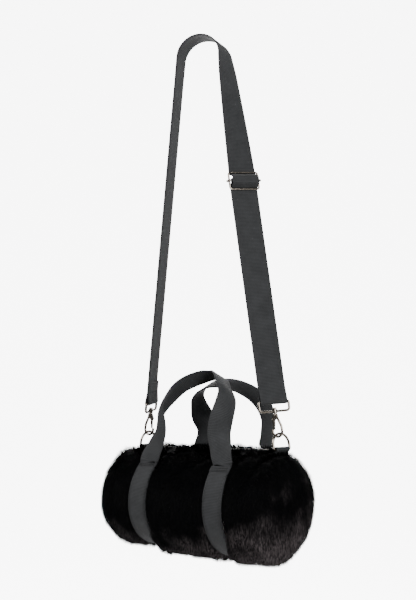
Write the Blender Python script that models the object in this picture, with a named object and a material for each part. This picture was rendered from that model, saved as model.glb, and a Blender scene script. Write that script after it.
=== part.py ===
"""A small barrel bag in faux fur, hanging from its webbing shoulder strap.

Metres, +Z up. The origin is under the top of the strap, where a hook or a hand holds it.
The bag's long axis lies along X, its front faces -Y, and its right end is at +X.
"""
import math

import bmesh
import bpy
from mathutils import Matrix, Vector

for thing in list(bpy.data.objects):
    bpy.data.objects.remove(thing, do_unlink=True)

# Fits between neighbouring pieces
GAP = 0.0003
OVERRUN = 0.002

# How finely round things are drawn
HALF_TURN = math.pi
QUARTER_TURN = math.pi / 2
FACE_EDGE_ANGLE = math.radians(35)
WIRE_EDGE_ANGLE = math.radians(50)
CORNER_STEPS = 3
ARC_STEPS = 8
RING_STEPS = 12
TIP_STEPS = 5
ROD_SIDES = 16
PIN_SIDES = 12
WIRE_QUARTER_STEPS = 2
LEG_STEPS = 10
RUN_STEPS = 5

# Bag: the fur tube, its domed ends and what lines them
BARREL_RADIUS = 0.071
BARREL_HALF_LENGTH = 0.108
FUR_WALL = 0.007
CINCH_DEPTH = 0.004
END_DEPTH = 0.029
UNDERSIDE_SLOPE = 0.06
LEVEL_X = 0.040
FORWARD_SHARE = 0.06
PADDING_WALL = 0.003
LINING_WALL = 0.0008
BAG_SIDES = 36
END_RINGS = 5
END_ROUNDNESS_SHARE = 0.86
BULGE_SHARE = 0.6
TAB_DIP = 0.0075
DIP_TURN_LEFT = math.radians(25)
DIP_TURN_RIGHT = math.radians(60)
DIP_START_SHARE = 0.35
DIP_FLATNESS = 4

# Zip along the top
ZIP_END_MARGIN = 0.013
ZIP_HALF_WIDTH = 0.0135
TAPE_THICK = 0.0010
TAPE_SINK = 0.0042
CHAIN_GAP = 0.0006
TOOTH_LENGTH = 0.0022
TOOTH_WIDTH = 0.0020
TOOTH_PITCH = 0.0040
SLIDER_LENGTH = 0.012
SLIDER_WIDTH = 0.009
SLIDER_PLATE = 0.0010
SLIDER_NECK = 0.0006
SLIDER_FROM_END = 0.007
BRIDGE_WIDTH = 0.0024
BRIDGE_BAR = 0.0012
BRIDGE_SPAN = 0.0050
BRIDGE_RISE = 0.0024
PULL_REACH = 0.019
PULL_WIDTH = 0.0075
PULL_THICK = 0.0010
PULL_SLOT_WIDTH = 0.0034
PULL_SLOT_LENGTH = 0.0052
PULL_BAR = 0.0006

# Bands and carrying handles, one webbing
HANDLE_WIDTH = 0.030
HANDLE_THICK = 0.0018
HANDLE_SPACING = 0.120
STITCH_STEPS = 4
FRONT_RISE = 0.110
REAR_RISE = 0.1025
HANDLE_TOP_Y = 0.002
HANDLE_CLEAR = 0.0034
HANDLE_TILT = math.radians(34)
TURN_START_SHARE = 0.16
TURN_END_SHARE = 0.85
FOOT_LIFT = 0.0011
CINCH_MARGIN = 0.002

# Each handle from foot to top as the photo has it: share of the rise, the spread, the lean
FRONT_HALF_SHARES = (
    (0.0, 1.0, 0.0),
    (0.03, 1.0, 0.01),
    (0.11, 0.98, 0.03),
    (0.2, 0.945, 0.08),
    (0.29, 0.89, 0.15),
    (0.38, 0.84, 0.22),
    (0.47, 0.81, 0.29),
    (0.56, 0.79, 0.36),
    (0.65, 0.78, 0.45),
    (0.75, 0.765, 0.56),
    (0.84, 0.69, 0.68),
    (0.92, 0.55, 0.8),
    (0.97, 0.38, 0.9),
    (0.995, 0.18, 0.97),
    (1.0, 0.0, 1.0),
)
REAR_HALF_SHARES = (
    (0.0, 1.0, 0.0),
    (0.03, 1.0, -0.04),
    (0.1, 0.97, -0.16),
    (0.2, 0.92, -0.3),
    (0.32, 0.9, -0.36),
    (0.44, 0.9, -0.32),
    (0.54, 0.91, -0.18),
    (0.64, 0.89, 0.08),
    (0.74, 0.84, 0.36),
    (0.83, 0.77, 0.6),
    (0.91, 0.62, 0.78),
    (0.965, 0.43, 0.89),
    (0.993, 0.21, 0.96),
    (1.0, 0.0, 1.0),
)

# D-rings and the tabs that hold them
RING_WIRE = 0.0016
RING_INNER_WIDTH = 0.025
RING_HEIGHT = 0.020
RING_CORNER = 0.002
TAB_WIDTH = 0.023
TAB_THICK = 0.0015
TAB_TAIL = 0.005
TAB_WRAP = math.radians(215)
RING_CLEAR = 0.0008

# Swivel hooks
HOOK_WIRE = 0.0016
HOOK_BEND = 0.007
HOOK_INSET = 0.00075
HOOK_DEPTH = 0.5245
HOOK_BACK = 0.005
BLOCK_BOTTOM = 0.0206
BLOCK_TOP = 0.0262
BLOCK_INNER = 0.0056
BLOCK_OUTER = 0.0032
BLOCK_HALF = 0.0030
SLOT_HALF = 0.0013
SLOT_BACK = 0.0012
SLOT_ROOF = 0.0010
GATE_PIVOT_IN = 0.0037
GATE_PIVOT_UP = 0.0228
GATE_EYE = 0.0015
GATE_HALF = 0.0010
GATE_TIP_UP = 0.0090
GATE_TIP = 0.0008
HOOK_TIP_RISE = 0.0026
PIN_RADIUS = 0.0007
SPRING_THICK = 0.0004
SPRING_WIDTH = 0.0016
SPRING_REACH_UP = 0.0140
SPRING_BEND_UP = 0.0200
COLLAR_RADIUS = 0.0026
POST_RADIUS = 0.0013
HEAD_HEIGHT = 0.0014
EYE_WIRE = 0.0016
EYE_HEIGHT = 0.012
EYE_CORNER = 0.004
EYE_TOP_CORNER = 0.0019
EYE_PLAY = 0.001
EYE_DROP = 0.0441
BOSS_RADIUS = 0.0032
BOSS_HALF = 0.0028

# Shoulder strap
STRAP_WIDTH = 0.038
STRAP_THICK = 0.0015
ARCH_RADIUS = 0.030
ARCH_STEPS = 14
APEX_YAW = math.radians(-22)
RIGHT_YAW = math.radians(27)
TWIST_SHARES = ((0.0, 0.0), (0.14, 0.25), (0.27, 0.43), (0.53, 0.63), (0.86, 0.88), (1.0, 1.0))
FOLD_TAIL = 0.028
LOOP_TAIL = 0.040
ADJUSTER_UP = 0.2876
RUN_ABOVE = 0.055
BRIDGE_REACH = 0.016

# Strap adjuster
ADJ_WIRE = 0.00125
ADJ_HALF_HEIGHT = 0.011
ADJ_CORNER = 0.003
ADJ_PLAY = 0.0005
ADJ_SHOULDER = 0.0045
ADJ_WAIST = 0.0095
END_TAIL = 0.0025


def material(name, colour, roughness, metallic):
    """A plain finish for one kind of piece."""
    made = bpy.data.materials.new(name)
    made.use_nodes = True
    shader = made.node_tree.nodes["Principled BSDF"]
    shader.inputs["Base Color"].default_value = (*colour, 1.0)
    shader.inputs["Roughness"].default_value = roughness
    shader.inputs["Metallic"].default_value = metallic
    return made


FUR = material("faux_fur", (0.004, 0.004, 0.005), 0.9, 0.0)
WEBBING = material("black_webbing", (0.045, 0.047, 0.052), 0.8, 0.0)
GUNMETAL = material("gunmetal", (0.28, 0.26, 0.24), 0.25, 1.0)
PADDING = material("wadding", (0.6, 0.6, 0.58), 0.95, 0.0)
LINING = material("lining", (0.01, 0.01, 0.011), 0.7, 0.0)
TAPE = material("zip_tape", (0.012, 0.012, 0.013), 0.8, 0.0)
SPRING = material("spring_steel", (0.4, 0.4, 0.4), 0.35, 1.0)


def add_object(name, mesh, finish, place=None):
    """Put a mesh into the scene under its own name and finish."""
    made = bpy.data.objects.new(name, mesh)
    bpy.context.scene.collection.objects.link(made)
    mesh.materials.clear()
    mesh.materials.append(finish)
    if place is not None:
        made.matrix_world = place
    return made


def add_bmesh(name, shape, finish, place=None, smooth=True):
    """Close off a bmesh, turn its faces out and make it an object."""
    bmesh.ops.recalc_face_normals(shape, faces=shape.faces)
    mesh = bpy.data.meshes.new(name)
    shape.to_mesh(mesh)
    shape.free()
    if smooth:
        mesh.shade_smooth()
        mesh.set_sharp_from_angle(angle=FACE_EDGE_ANGLE)
    return add_object(name, mesh, finish, place)


def skin(shape, rings, closed=False):
    """Join rings of vertices in order, with a face over each open end."""
    for ring, following in zip(rings, rings[1:] + rings[:1] if closed else rings[1:]):
        count = len(ring)
        for k in range(count):
            shape.faces.new((ring[k], ring[(k + 1) % count], following[(k + 1) % count], following[k]))
    if not closed:
        shape.faces.new(rings[0])
        shape.faces.new(rings[-1])


def frame(origin, up, front):
    """A local frame: z along up, y as near to front as it can be."""
    z = up.normalized()
    x = front.cross(z).normalized()
    y = z.cross(x)
    return Matrix.Translation(origin) @ Matrix((x, y, z)).transposed().to_4x4()


def ribbon(name, path, hints, width, thick, finish, hinge=None, settle=None):
    """Flat webbing swept along a path, its width turned to the hint at each point."""
    base = hinge if hinge is not None else Vector()
    settle = settle or Vector
    shape = bmesh.new()
    rings = []
    for k, point in enumerate(path):
        back = (point - path[k - 1]).normalized() if k else (path[1] - point).normalized()
        ahead = (path[k + 1] - point).normalized() if k + 1 < len(path) else back
        along = (back + ahead).normalized()
        across = (hints[k] - along * hints[k].dot(along)).normalized() * width / 2
        out = across.cross(along).normalized() * thick / 2 / along.dot(ahead)
        corners = (-across - out, across - out, across + out, -across + out)
        rings.append([shape.verts.new(settle(point + corner) - base) for corner in corners])
    skin(shape, rings)
    return add_bmesh(name, shape, finish, Matrix.Translation(base))


def strip(name, place, points, width, thick, finish):
    """Webbing whose path is a side view: (front, up) points in a local frame."""
    path = [place @ Vector((0, d, s)) for d, s in points]
    across = place.to_3x3() @ Vector((1, 0, 0))
    return ribbon(name, path, [across] * len(path), width, thick, finish)


def arc(centre, radius, start, end, steps):
    """Points of an arc in a plane, both ends included, angles in radians."""
    turns = [start + (end - start) * k / steps for k in range(steps + 1)]
    return [(centre[0] + radius * math.cos(t), centre[1] + radius * math.sin(t)) for t in turns]


def rounded(points, radius, closed=False):
    """The same outline with each corner rounded off, by one radius or one for each corner."""
    made = []
    radii = radius if isinstance(radius, list) else [radius] * len(points)
    count = len(points)
    for k, point in enumerate(points):
        if not closed and k in (0, count - 1):
            made.append(point)
            continue
        here = Vector(point)
        back = (Vector(points[k - 1]) - here).normalized()
        ahead = (Vector(points[(k + 1) % count]) - here).normalized()
        half = back.angle(ahead) / 2
        centre = here + (back + ahead).normalized() * radii[k] / math.sin(half)
        first = here + back * radii[k] / math.tan(half) - centre
        last = here + ahead * radii[k] / math.tan(half) - centre
        for j in range(CORNER_STEPS + 1):
            share = j / CORNER_STEPS
            made.append(tuple(centre + first.slerp(last, share).normalized() * radii[k]))
    return made


def wire(name, points, radius, finish, place=None, closed=False):
    """Round wire along points in space, as a mesh with filled ends."""
    curve = bpy.data.curves.new(name, "CURVE")
    curve.dimensions = "3D"
    curve.bevel_depth = radius
    curve.bevel_resolution = WIRE_QUARTER_STEPS
    curve.use_fill_caps = True
    spline = curve.splines.new("POLY")
    spline.points.add(len(points) - 1)
    for dot, point in zip(spline.points, points):
        dot.co = (*point, 1.0)
    spline.use_cyclic_u = closed
    guide = bpy.data.objects.new(name + "_guide", curve)
    bpy.context.scene.collection.objects.link(guide)
    mesh = bpy.data.meshes.new_from_object(guide.evaluated_get(bpy.context.evaluated_depsgraph_get()))
    bpy.data.objects.remove(guide, do_unlink=True)
    mesh.shade_smooth()
    mesh.set_sharp_from_angle(angle=WIRE_EDGE_ANGLE)
    return add_object(name, mesh, finish, place)


def block(name, low, high, finish, place=None):
    """A square block between two corners."""
    shape = bmesh.new()
    bmesh.ops.create_cube(shape, size=1.0)
    low, high = Vector(low), Vector(high)
    for vert in shape.verts:
        vert.co = (low + high) / 2 + Vector(c * (b - a) for c, a, b in zip(vert.co, low, high))
    return add_bmesh(name, shape, finish, place, smooth=False)


def rod(name, radius, low, high, finish, place=None, sides=ROD_SIDES, axis="Z"):
    """A round bar along the local Z or Y axis."""
    shape = bmesh.new()
    bmesh.ops.create_cone(
        shape, cap_ends=True, segments=sides, radius1=radius, radius2=radius, depth=high - low
    )
    bmesh.ops.translate(shape, verts=shape.verts, vec=(0, 0, (low + high) / 2))
    if axis == "Y":
        bmesh.ops.rotate(shape, verts=shape.verts, matrix=Matrix.Rotation(-QUARTER_TURN, 3, "X"))
    return add_bmesh(name, shape, finish, place)


def plate(name, outline, half, finish, place=None):
    """A flat outline in the local X-Z plane, given a thickness along Y."""
    shape = bmesh.new()
    rings = [[shape.verts.new((x, y, z)) for x, z in outline] for y in (-half, half)]
    skin(shape, rings)
    return add_bmesh(name, shape, finish, place, smooth=False)


def combine(body, tool, operation):
    """Cut a tool out of a body, or join it on, and keep the tool as a guide."""
    step = body.modifiers.new(tool.name, "BOOLEAN")
    step.operation = operation
    step.solver = "EXACT"
    step.object = tool
    tool.hide_render = True
    tool.display_type = "WIRE"
    return body


def cut(body, *tools):
    for tool in tools:
        combine(body, tool, "DIFFERENCE")
    return body


def join(body, *tools):
    for tool in tools:
        combine(body, tool, "UNION")
    return body


def pivot(name, place):
    """An empty on a joint's axis, which carries the pieces that move about it."""
    made = bpy.data.objects.new(name, None)
    bpy.context.scene.collection.objects.link(made)
    made.location = place
    bpy.context.view_layer.update()
    return made


def carry(parent, *pieces):
    bpy.context.view_layer.update()
    for piece in pieces:
        piece.parent = parent
        piece.matrix_parent_inverse = parent.matrix_world.inverted()


# Places worked out from the sizes
strap_line = ARCH_RADIUS + STRAP_THICK / 2
apex_across = Vector((math.sin(APEX_YAW), math.cos(APEX_YAW), 0))
apex_along = Vector((math.cos(APEX_YAW), -math.sin(APEX_YAW), 0))
arch_centre = Vector((0, 0, -ARCH_RADIUS))
seam_x = BARREL_HALF_LENGTH + GAP / 2
hook_x = seam_x - HOOK_INSET
lean = math.atan((hook_x * math.cos(APEX_YAW) - strap_line) / HOOK_DEPTH)
arch_end = QUARTER_TURN - lean


def arch_point(turn):
    """A point of the strap's arch, turn radians from its top."""
    return arch_centre + strap_line * (apex_along * math.sin(turn) + Vector((0, 0, math.cos(turn))))


bend = {
    "left": Vector((-hook_x, HOOK_BACK, -HOOK_DEPTH)),
    "right": Vector((hook_x, HOOK_BACK, -HOOK_DEPTH)),
}
arch_foot = {"left": arch_point(-arch_end), "right": arch_point(arch_end)}
leg_up = {side: (arch_foot[side] - bend[side]).normalized() for side in bend}
eye_top = {side: bend[side] + leg_up[side] * EYE_DROP for side in bend}
outward = {"left": Vector((-1, 0, 0)), "right": Vector((1, 0, 0))}
face_yaw = {"left": APEX_YAW, "right": RIGHT_YAW}
face_out = {
    side: Vector((math.cos(face_yaw[side]), -math.sin(face_yaw[side]), 0)) * outward[side].x
    for side in bend
}
leg_frame = {side: frame(eye_top[side], leg_up[side], face_out[side]) for side in bend}
hook_frame = {
    side: frame(bend[side], leg_up[side], leg_up[side].cross(outward[side])) for side in bend
}

ring_lean = {side: Vector((leg_up[side].x, 0, leg_up[side].z)).normalized() for side in bend}
ring_seat = HOOK_WIRE + RING_WIRE + RING_CLEAR
ring_bar = {side: bend[side] + ring_lean[side] * (ring_seat - RING_HEIGHT) for side in bend}
tab_radius = RING_WIRE + GAP + TAB_THICK / 2
seam_top = ring_bar["right"].z - tab_radius - TAB_THICK / 2 - GAP
barrel_z = seam_top + TAB_DIP - BARREL_RADIUS
barrel_centre = Vector((0, 0, barrel_z))
cinch_radius = BARREL_RADIUS - CINCH_DEPTH
bag_deep = 2 * BARREL_RADIUS
fur_inner = BARREL_RADIUS - FUR_WALL
padding_outer = fur_inner - GAP
lining_outer = padding_outer - PADDING_WALL - GAP
handle_x = HANDLE_SPACING / 2
zip_half = BARREL_HALF_LENGTH - ZIP_END_MARGIN
band_half = HANDLE_WIDTH / 2 + CINCH_MARGIN
between = handle_x - band_half
beyond = BARREL_HALF_LENGTH - handle_x - band_half
dip_start = handle_x + band_half + beyond * DIP_START_SHARE
tab_turn = math.atan2(HOOK_BACK, BARREL_RADIUS)


# Shoulder strap: folded on the left hook, over the top, down to the adjuster
def twist(depth, full):
    """How far the right leg has turned, as a yaw angle, at a depth below the top."""
    place = min(max(depth / full, 0), 1)
    for (low, a), (high, b) in zip(TWIST_SHARES, TWIST_SHARES[1:]):
        if place <= high:
            return APEX_YAW + (RIGHT_YAW - APEX_YAW) * (a + (b - a) * (place - low) / (high - low))
    return RIGHT_YAW


def yaw_vector(yaw):
    return Vector((math.sin(yaw), math.cos(yaw), 0))


wrap_line = EYE_WIRE + GAP + STRAP_THICK / 2
layer = (STRAP_THICK + GAP) / 2
adjuster_frame_place = leg_frame["right"] @ Matrix.Translation((0, 0, ADJUSTER_UP))
twist_depth = -(adjuster_frame_place @ Vector((0, 0, BRIDGE_REACH))).z

left = leg_frame["left"]
fold = [(-layer, FOLD_TAIL)]
fold += arc((0, 0), wrap_line, HALF_TURN, 2 * HALF_TURN, ARC_STEPS)
fold += [(layer, FOLD_TAIL), (layer, FOLD_TAIL + LOOP_TAIL)]
over_path = [left @ Vector((0, d, s)) for d, s in fold]
over_hints = [left.to_3x3() @ Vector((1, 0, 0))] * len(over_path)
for k in range(ARCH_STEPS + 1):
    turn = -arch_end + 2 * arch_end * k / ARCH_STEPS
    point = arch_point(turn)
    over_path.append(point)
    over_hints.append(yaw_vector(twist(-point.z, twist_depth)) if turn > 0 else apex_across)
run_top = leg_frame["right"] @ Vector((0, layer, ADJUSTER_UP + RUN_ABOVE))
for k in range(1, LEG_STEPS + 1):
    point = arch_foot["right"].lerp(run_top, k / LEG_STEPS)
    over_path.append(point)
    over_hints.append(yaw_vector(twist(-point.z, twist_depth)))
ribbon("strap_over", over_path, over_hints, STRAP_WIDTH, STRAP_THICK, WEBBING)

run_start = leg_frame["right"] @ Vector((0, layer, ADJUSTER_UP + RUN_ABOVE - GAP))
run_end = adjuster_frame_place @ Vector((0, layer, BRIDGE_REACH + GAP))
run_path = [run_start.lerp(run_end, k / RUN_STEPS) for k in range(RUN_STEPS + 1)]
run_hints = [yaw_vector(twist(-point.z, twist_depth)) for point in run_path]
ribbon("strap_run", run_path, run_hints, STRAP_WIDTH, STRAP_THICK, WEBBING)

# Adjuster: webbing goes behind the end bars and over the middle bar
adj_plane = layer + STRAP_THICK / 2 + GAP + ADJ_WIRE
mid_bar = adj_plane + 2 * ADJ_WIRE + GAP
end_line = ADJ_WIRE + GAP + STRAP_THICK / 2
bridge_front = mid_bar + end_line + STRAP_THICK + GAP
bridge = [
    (layer, BRIDGE_REACH),
    (layer, ADJ_WAIST),
    (bridge_front, ADJ_SHOULDER),
    (bridge_front, -ADJ_SHOULDER),
    (layer, -ADJ_WAIST),
    (layer, -BRIDGE_REACH),
]
strip(
    "strap_bridge",
    adjuster_frame_place,
    rounded(bridge, STRAP_THICK),
    STRAP_WIDTH,
    STRAP_THICK,
    WEBBING,
)
end_loop = rounded(
    [(-layer, -BRIDGE_REACH), (-layer, -ADJ_WAIST), (mid_bar - end_line, -END_TAIL)], STRAP_THICK
)
end_loop += arc((mid_bar, 0), end_line, HALF_TURN, 0, ARC_STEPS)
end_loop += [(mid_bar + end_line, -END_TAIL)]
strip("strap_end_loop", adjuster_frame_place, end_loop, STRAP_WIDTH, STRAP_THICK, WEBBING)

adj_half = STRAP_WIDTH / 2 + ADJ_PLAY + ADJ_WIRE
adj_ring = rounded(
    [
        (-adj_half, -ADJ_HALF_HEIGHT),
        (adj_half, -ADJ_HALF_HEIGHT),
        (adj_half, ADJ_HALF_HEIGHT),
        (-adj_half, ADJ_HALF_HEIGHT),
    ],
    ADJ_CORNER,
    closed=True,
)
wire(
    "adjuster_frame",
    [(x, adj_plane, z) for x, z in adj_ring],
    ADJ_WIRE,
    GUNMETAL,
    adjuster_frame_place,
    closed=True,
)
curl = 2 * ADJ_WIRE + GAP
curl_right = arc((adj_half, adj_plane), curl, QUARTER_TURN, -QUARTER_TURN, ARC_STEPS)
bar_path = [(-x, y) for x, y in reversed(curl_right)] + curl_right
wire("adjuster_bar", [(x, y, 0) for x, y in bar_path], ADJ_WIRE, GUNMETAL, adjuster_frame_place)

# Doubled strap from the adjuster to the right hook, and its loop round the eye
for name, side in (("strap_double_front", 1), ("strap_double_back", -1)):
    low = (side * layer, LOOP_TAIL + GAP)
    high = (side * layer, ADJUSTER_UP - BRIDGE_REACH - GAP)
    strip(name, leg_frame["right"], [low, high], STRAP_WIDTH, STRAP_THICK, WEBBING)
hook_loop = [(-layer, LOOP_TAIL)]
hook_loop += arc((0, 0), wrap_line, HALF_TURN, 2 * HALF_TURN, ARC_STEPS)
hook_loop += [(layer, LOOP_TAIL)]
strip("strap_hook_loop", leg_frame["right"], hook_loop, STRAP_WIDTH, STRAP_THICK, WEBBING)


# Swivel hooks: eye, body with its riveted post, gate, gate pin and leaf spring
def make_hook(side):
    place = leg_frame[side]
    half = STRAP_WIDTH / 2 + EYE_PLAY / 2 + EYE_WIRE
    corners = [(-half, -EYE_HEIGHT), (half, -EYE_HEIGHT), (half, 0), (-half, 0)]
    radii = [EYE_CORNER, EYE_CORNER, EYE_TOP_CORNER, EYE_TOP_CORNER]
    outline = rounded(corners, radii, closed=True)
    eye = wire(
        "hook_eye_" + side, [(x, 0, z) for x, z in outline], EYE_WIRE, GUNMETAL, place, closed=True
    )
    boss_place = place @ Matrix.Translation((0, 0, -EYE_HEIGHT))
    boss = rod("boss_" + side, BOSS_RADIUS, -BOSS_HALF, BOSS_HALF, GUNMETAL, boss_place)
    hole_radius = POST_RADIUS + GAP
    hole = rod(
        "boss_hole_" + side, hole_radius, -BOSS_HALF - OVERRUN, BOSS_HALF + OVERRUN, GUNMETAL, boss_place
    )
    cut(join(eye, boss), hole)

    place = hook_frame[side]
    eye_low = EYE_DROP - EYE_HEIGHT
    collar_top = eye_low - BOSS_HALF - GAP
    head_low = eye_low + BOSS_HALF + GAP
    spine = [(0, (BLOCK_BOTTOM + BLOCK_TOP) / 2), (BLOCK_OUTER + HOOK_WIRE, BLOCK_BOTTOM - HOOK_WIRE)]
    spine += [(HOOK_BEND, HOOK_BEND * 2)]
    spine += arc((0, HOOK_BEND), HOOK_BEND, 0, -HALF_TURN, RING_STEPS)
    spine += [(-HOOK_BEND, HOOK_BEND + HOOK_TIP_RISE)]
    body = wire("hook_body_" + side, [(x, 0, z) for x, z in spine], HOOK_WIRE, GUNMETAL, place)
    lump = block(
        "hook_block_" + side,
        (-BLOCK_INNER, -BLOCK_HALF, BLOCK_BOTTOM),
        (BLOCK_OUTER, BLOCK_HALF, BLOCK_TOP),
        GUNMETAL,
        place,
    )
    collar = rod(
        "hook_collar_" + side, COLLAR_RADIUS, BLOCK_TOP - SLOT_ROOF / 2, collar_top, GUNMETAL, place
    )
    post = rod(
        "hook_post_" + side,
        POST_RADIUS,
        collar_top - SLOT_ROOF,
        head_low + HEAD_HEIGHT / 2,
        GUNMETAL,
        place,
        sides=PIN_SIDES,
    )
    head = rod("hook_head_" + side, COLLAR_RADIUS, head_low, head_low + HEAD_HEIGHT, GUNMETAL, place)
    slot = block(
        "gate_slot_" + side,
        (-BLOCK_INNER - OVERRUN, -SLOT_HALF, BLOCK_BOTTOM - OVERRUN),
        (-SLOT_BACK, SLOT_HALF, BLOCK_TOP - SLOT_ROOF),
        GUNMETAL,
        place,
    )
    gate_place = place @ Matrix.Translation((-GATE_PIVOT_IN, 0, GATE_PIVOT_UP))
    bore = PIN_RADIUS + GAP
    reach = BLOCK_HALF + OVERRUN
    pin_hole = rod("pin_hole_" + side, bore, -reach, reach, GUNMETAL, gate_place, PIN_SIDES, "Y")
    cut(join(body, lump, collar, post, head), slot, pin_hole)

    pin = "hook_gate_pin_" + side
    rod(pin, PIN_RADIUS, -BLOCK_HALF, BLOCK_HALF, GUNMETAL, gate_place, PIN_SIDES, "Y")
    tip_x = -HOOK_BEND + HOOK_WIRE + GAP + GATE_TIP + GATE_PIVOT_IN
    tip_z = GATE_TIP_UP - GATE_PIVOT_UP
    outline = arc((0, 0), GATE_EYE, 0, HALF_TURN, ARC_STEPS)
    outline += arc((tip_x, tip_z), GATE_TIP, HALF_TURN, 2 * HALF_TURN, TIP_STEPS)
    gate = plate("hook_gate_" + side, outline, GATE_HALF, GUNMETAL, gate_place)
    gate_bore = rod("gate_bore_" + side, bore, -reach, reach, GUNMETAL, gate_place, PIN_SIDES, "Y")
    cut(gate, gate_bore)

    slot_wall = -SLOT_BACK - GAP - SPRING_THICK / 2
    share = (SPRING_REACH_UP - GATE_PIVOT_UP) / tip_z
    gate_face = tip_x * share + GATE_EYE + (GATE_TIP - GATE_EYE) * share - GATE_PIVOT_IN
    spring_path = [
        (slot_wall, BLOCK_TOP - SLOT_ROOF - GAP),
        (slot_wall, SPRING_BEND_UP),
        (gate_face + GAP + SPRING_THICK / 2, SPRING_REACH_UP),
    ]
    path = [place @ Vector((x, 0, z)) for x, z in spring_path]
    across = place.to_3x3() @ Vector((0, 1, 0))
    ribbon("hook_spring_" + side, path, [across] * 3, SPRING_WIDTH, SPRING_THICK, SPRING)


for side in bend:
    make_hook(side)


# D-rings and their webbing tabs, sewn into the seam between tube and end
def make_ring(side):
    half = RING_INNER_WIDTH / 2 + RING_WIRE
    outline = rounded([(-half, half), (-half, 0), (half, 0), (half, half)], RING_CORNER)[1:-1]
    outline += arc((0, RING_HEIGHT - half), half, 0, HALF_TURN, RING_STEPS)
    place = frame(ring_bar[side], ring_lean[side], Vector((1, 0, 0)))
    wire(
        "d_ring_" + side, [(x, 0, z) for x, z in outline], RING_WIRE, GUNMETAL, place, closed=True
    )
    bar = ring_bar[side]
    seam = Vector((outward[side].x * seam_x, bar.y, 0))
    pair = (TAB_THICK + GAP) / 2
    tail = [(-pair, seam_top - TAB_TAIL), (-pair, seam_top)]
    loop = arc((0, 0), tab_radius, TAB_WRAP, HALF_TURN - TAB_WRAP, ARC_STEPS)
    path = [seam + Vector((d, 0, s)) for d, s in tail]
    path += [bar + Vector((d, 0, s)) for d, s in loop]
    path += [seam + Vector((-d, 0, s)) for d, s in reversed(tail)]
    across = [Vector((0, 1, 0))] * len(path)
    return ribbon("tab_" + side, path, across, TAB_WIDTH, TAB_THICK, WEBBING)


# Fur tube, wadding and lining, each open along the zip; one facet lies flat underneath
def settle(spot):
    """The soft bag hangs fuller to the right and the front, and dips round its two tabs."""
    depth = barrel_z + BARREL_RADIUS - spot.z
    lift = UNDERSIDE_SLOPE * (LEVEL_X - spot.x) * depth / bag_deep
    near = min(max((abs(spot.x) - dip_start) / (BARREL_HALF_LENGTH - dip_start), 0), 1)
    turn = math.atan2(spot.y, spot.z - barrel_z) - tab_turn
    wide = max(1 - (turn / (DIP_TURN_LEFT if spot.x < 0 else DIP_TURN_RIGHT)) ** DIP_FLATNESS, 0)
    dip = TAB_DIP * near * wide * max(1 - depth / BARREL_RADIUS, 0)
    return Vector((spot.x, spot.y - FORWARD_SHARE * depth, spot.z + lift - dip))


facet = 2 * HALF_TURN / BAG_SIDES
turns = [facet * k + facet / 2 for k in range(BAG_SIDES)]


def tube(name, stations, inner, finish):
    """A round tube along X: outer radius at each station, one inner radius."""
    shape = bmesh.new()
    rings = []
    for x, radius in stations + [(x, inner) for x, outer in reversed(stations)]:
        ring = [(x, radius * math.sin(t), radius * math.cos(t)) for t in turns]
        rings.append([shape.verts.new(settle(barrel_centre + Vector(spot))) for spot in ring])
    skin(shape, rings, closed=True)
    bmesh.ops.triangulate(shape, faces=shape.faces, quad_method="SHORT_EDGE")
    return add_bmesh(name, shape, finish)


def dome(name, side, radius, depth, wall, start, finish):
    """A rounded end, hollow like a bowl, with its rim towards the tube."""
    shape = bmesh.new()
    sign = outward[side].x
    profile = []
    for r, d, order in ((radius, depth, 1), (radius - wall, depth - wall, -1)):
        half = []
        for k in range(END_RINGS):
            t = QUARTER_TURN * k / END_RINGS
            out = d * math.sin(t) ** END_ROUNDNESS_SHARE
            half.append((start + out, r * math.cos(t) ** END_ROUNDNESS_SHARE))
        profile.append((half, (start + d, 0)))
    (outer, outer_pole), (inner, inner_pole) = profile
    rings = []
    for x, r in list(reversed(outer)) + inner:
        ring = [(sign * x, r * math.sin(t), r * math.cos(t)) for t in turns]
        rings.append([shape.verts.new(settle(barrel_centre + Vector(spot))) for spot in ring])
    for ring, following in zip(rings, rings[1:]):
        for k in range(BAG_SIDES):
            j = (k + 1) % BAG_SIDES
            shape.faces.new((ring[k], ring[j], following[j], following[k]))
    for ring, pole in ((rings[0], outer_pole), (rings[-1], inner_pole)):
        top = shape.verts.new(settle(barrel_centre + Vector((sign * pole[0], 0, 0))))
        for k in range(BAG_SIDES):
            shape.faces.new((ring[k], ring[(k + 1) % BAG_SIDES], top))
    bmesh.ops.triangulate(shape, faces=shape.faces, quad_method="SHORT_EDGE")
    return add_bmesh(name, shape, finish)


full = BARREL_RADIUS
soft = cinch_radius + CINCH_DEPTH * BULGE_SHARE
half_stations = [
    (between * BULGE_SHARE, full),
    (between - CINCH_DEPTH, soft),
    (between, cinch_radius),
    (handle_x + band_half, cinch_radius),
    (handle_x + band_half + CINCH_DEPTH, soft),
    (dip_start, full),
    (BARREL_HALF_LENGTH, full),
]
stations = [(-x, r) for x, r in reversed(half_stations)] + half_stations

fur = tube("fur_barrel", stations, fur_inner, FUR)
spots = (-BARREL_HALF_LENGTH, -dip_start, dip_start, BARREL_HALF_LENGTH)
ends = [(x, padding_outer) for x in spots]
padding = tube("padding_barrel", ends, padding_outer - PADDING_WALL, PADDING)
ends = [(x, lining_outer) for x in spots]
lining = tube("lining_barrel", ends, lining_outer - LINING_WALL, LINING)
top = BARREL_RADIUS + OVERRUN
for body in (fur, padding, lining):
    mouth = block(
        "mouth_" + body.name,
        (-zip_half, -ZIP_HALF_WIDTH, barrel_z),
        (zip_half, ZIP_HALF_WIDTH, barrel_z + top),
        TAPE,
    )
    cut(body, mouth)

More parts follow.
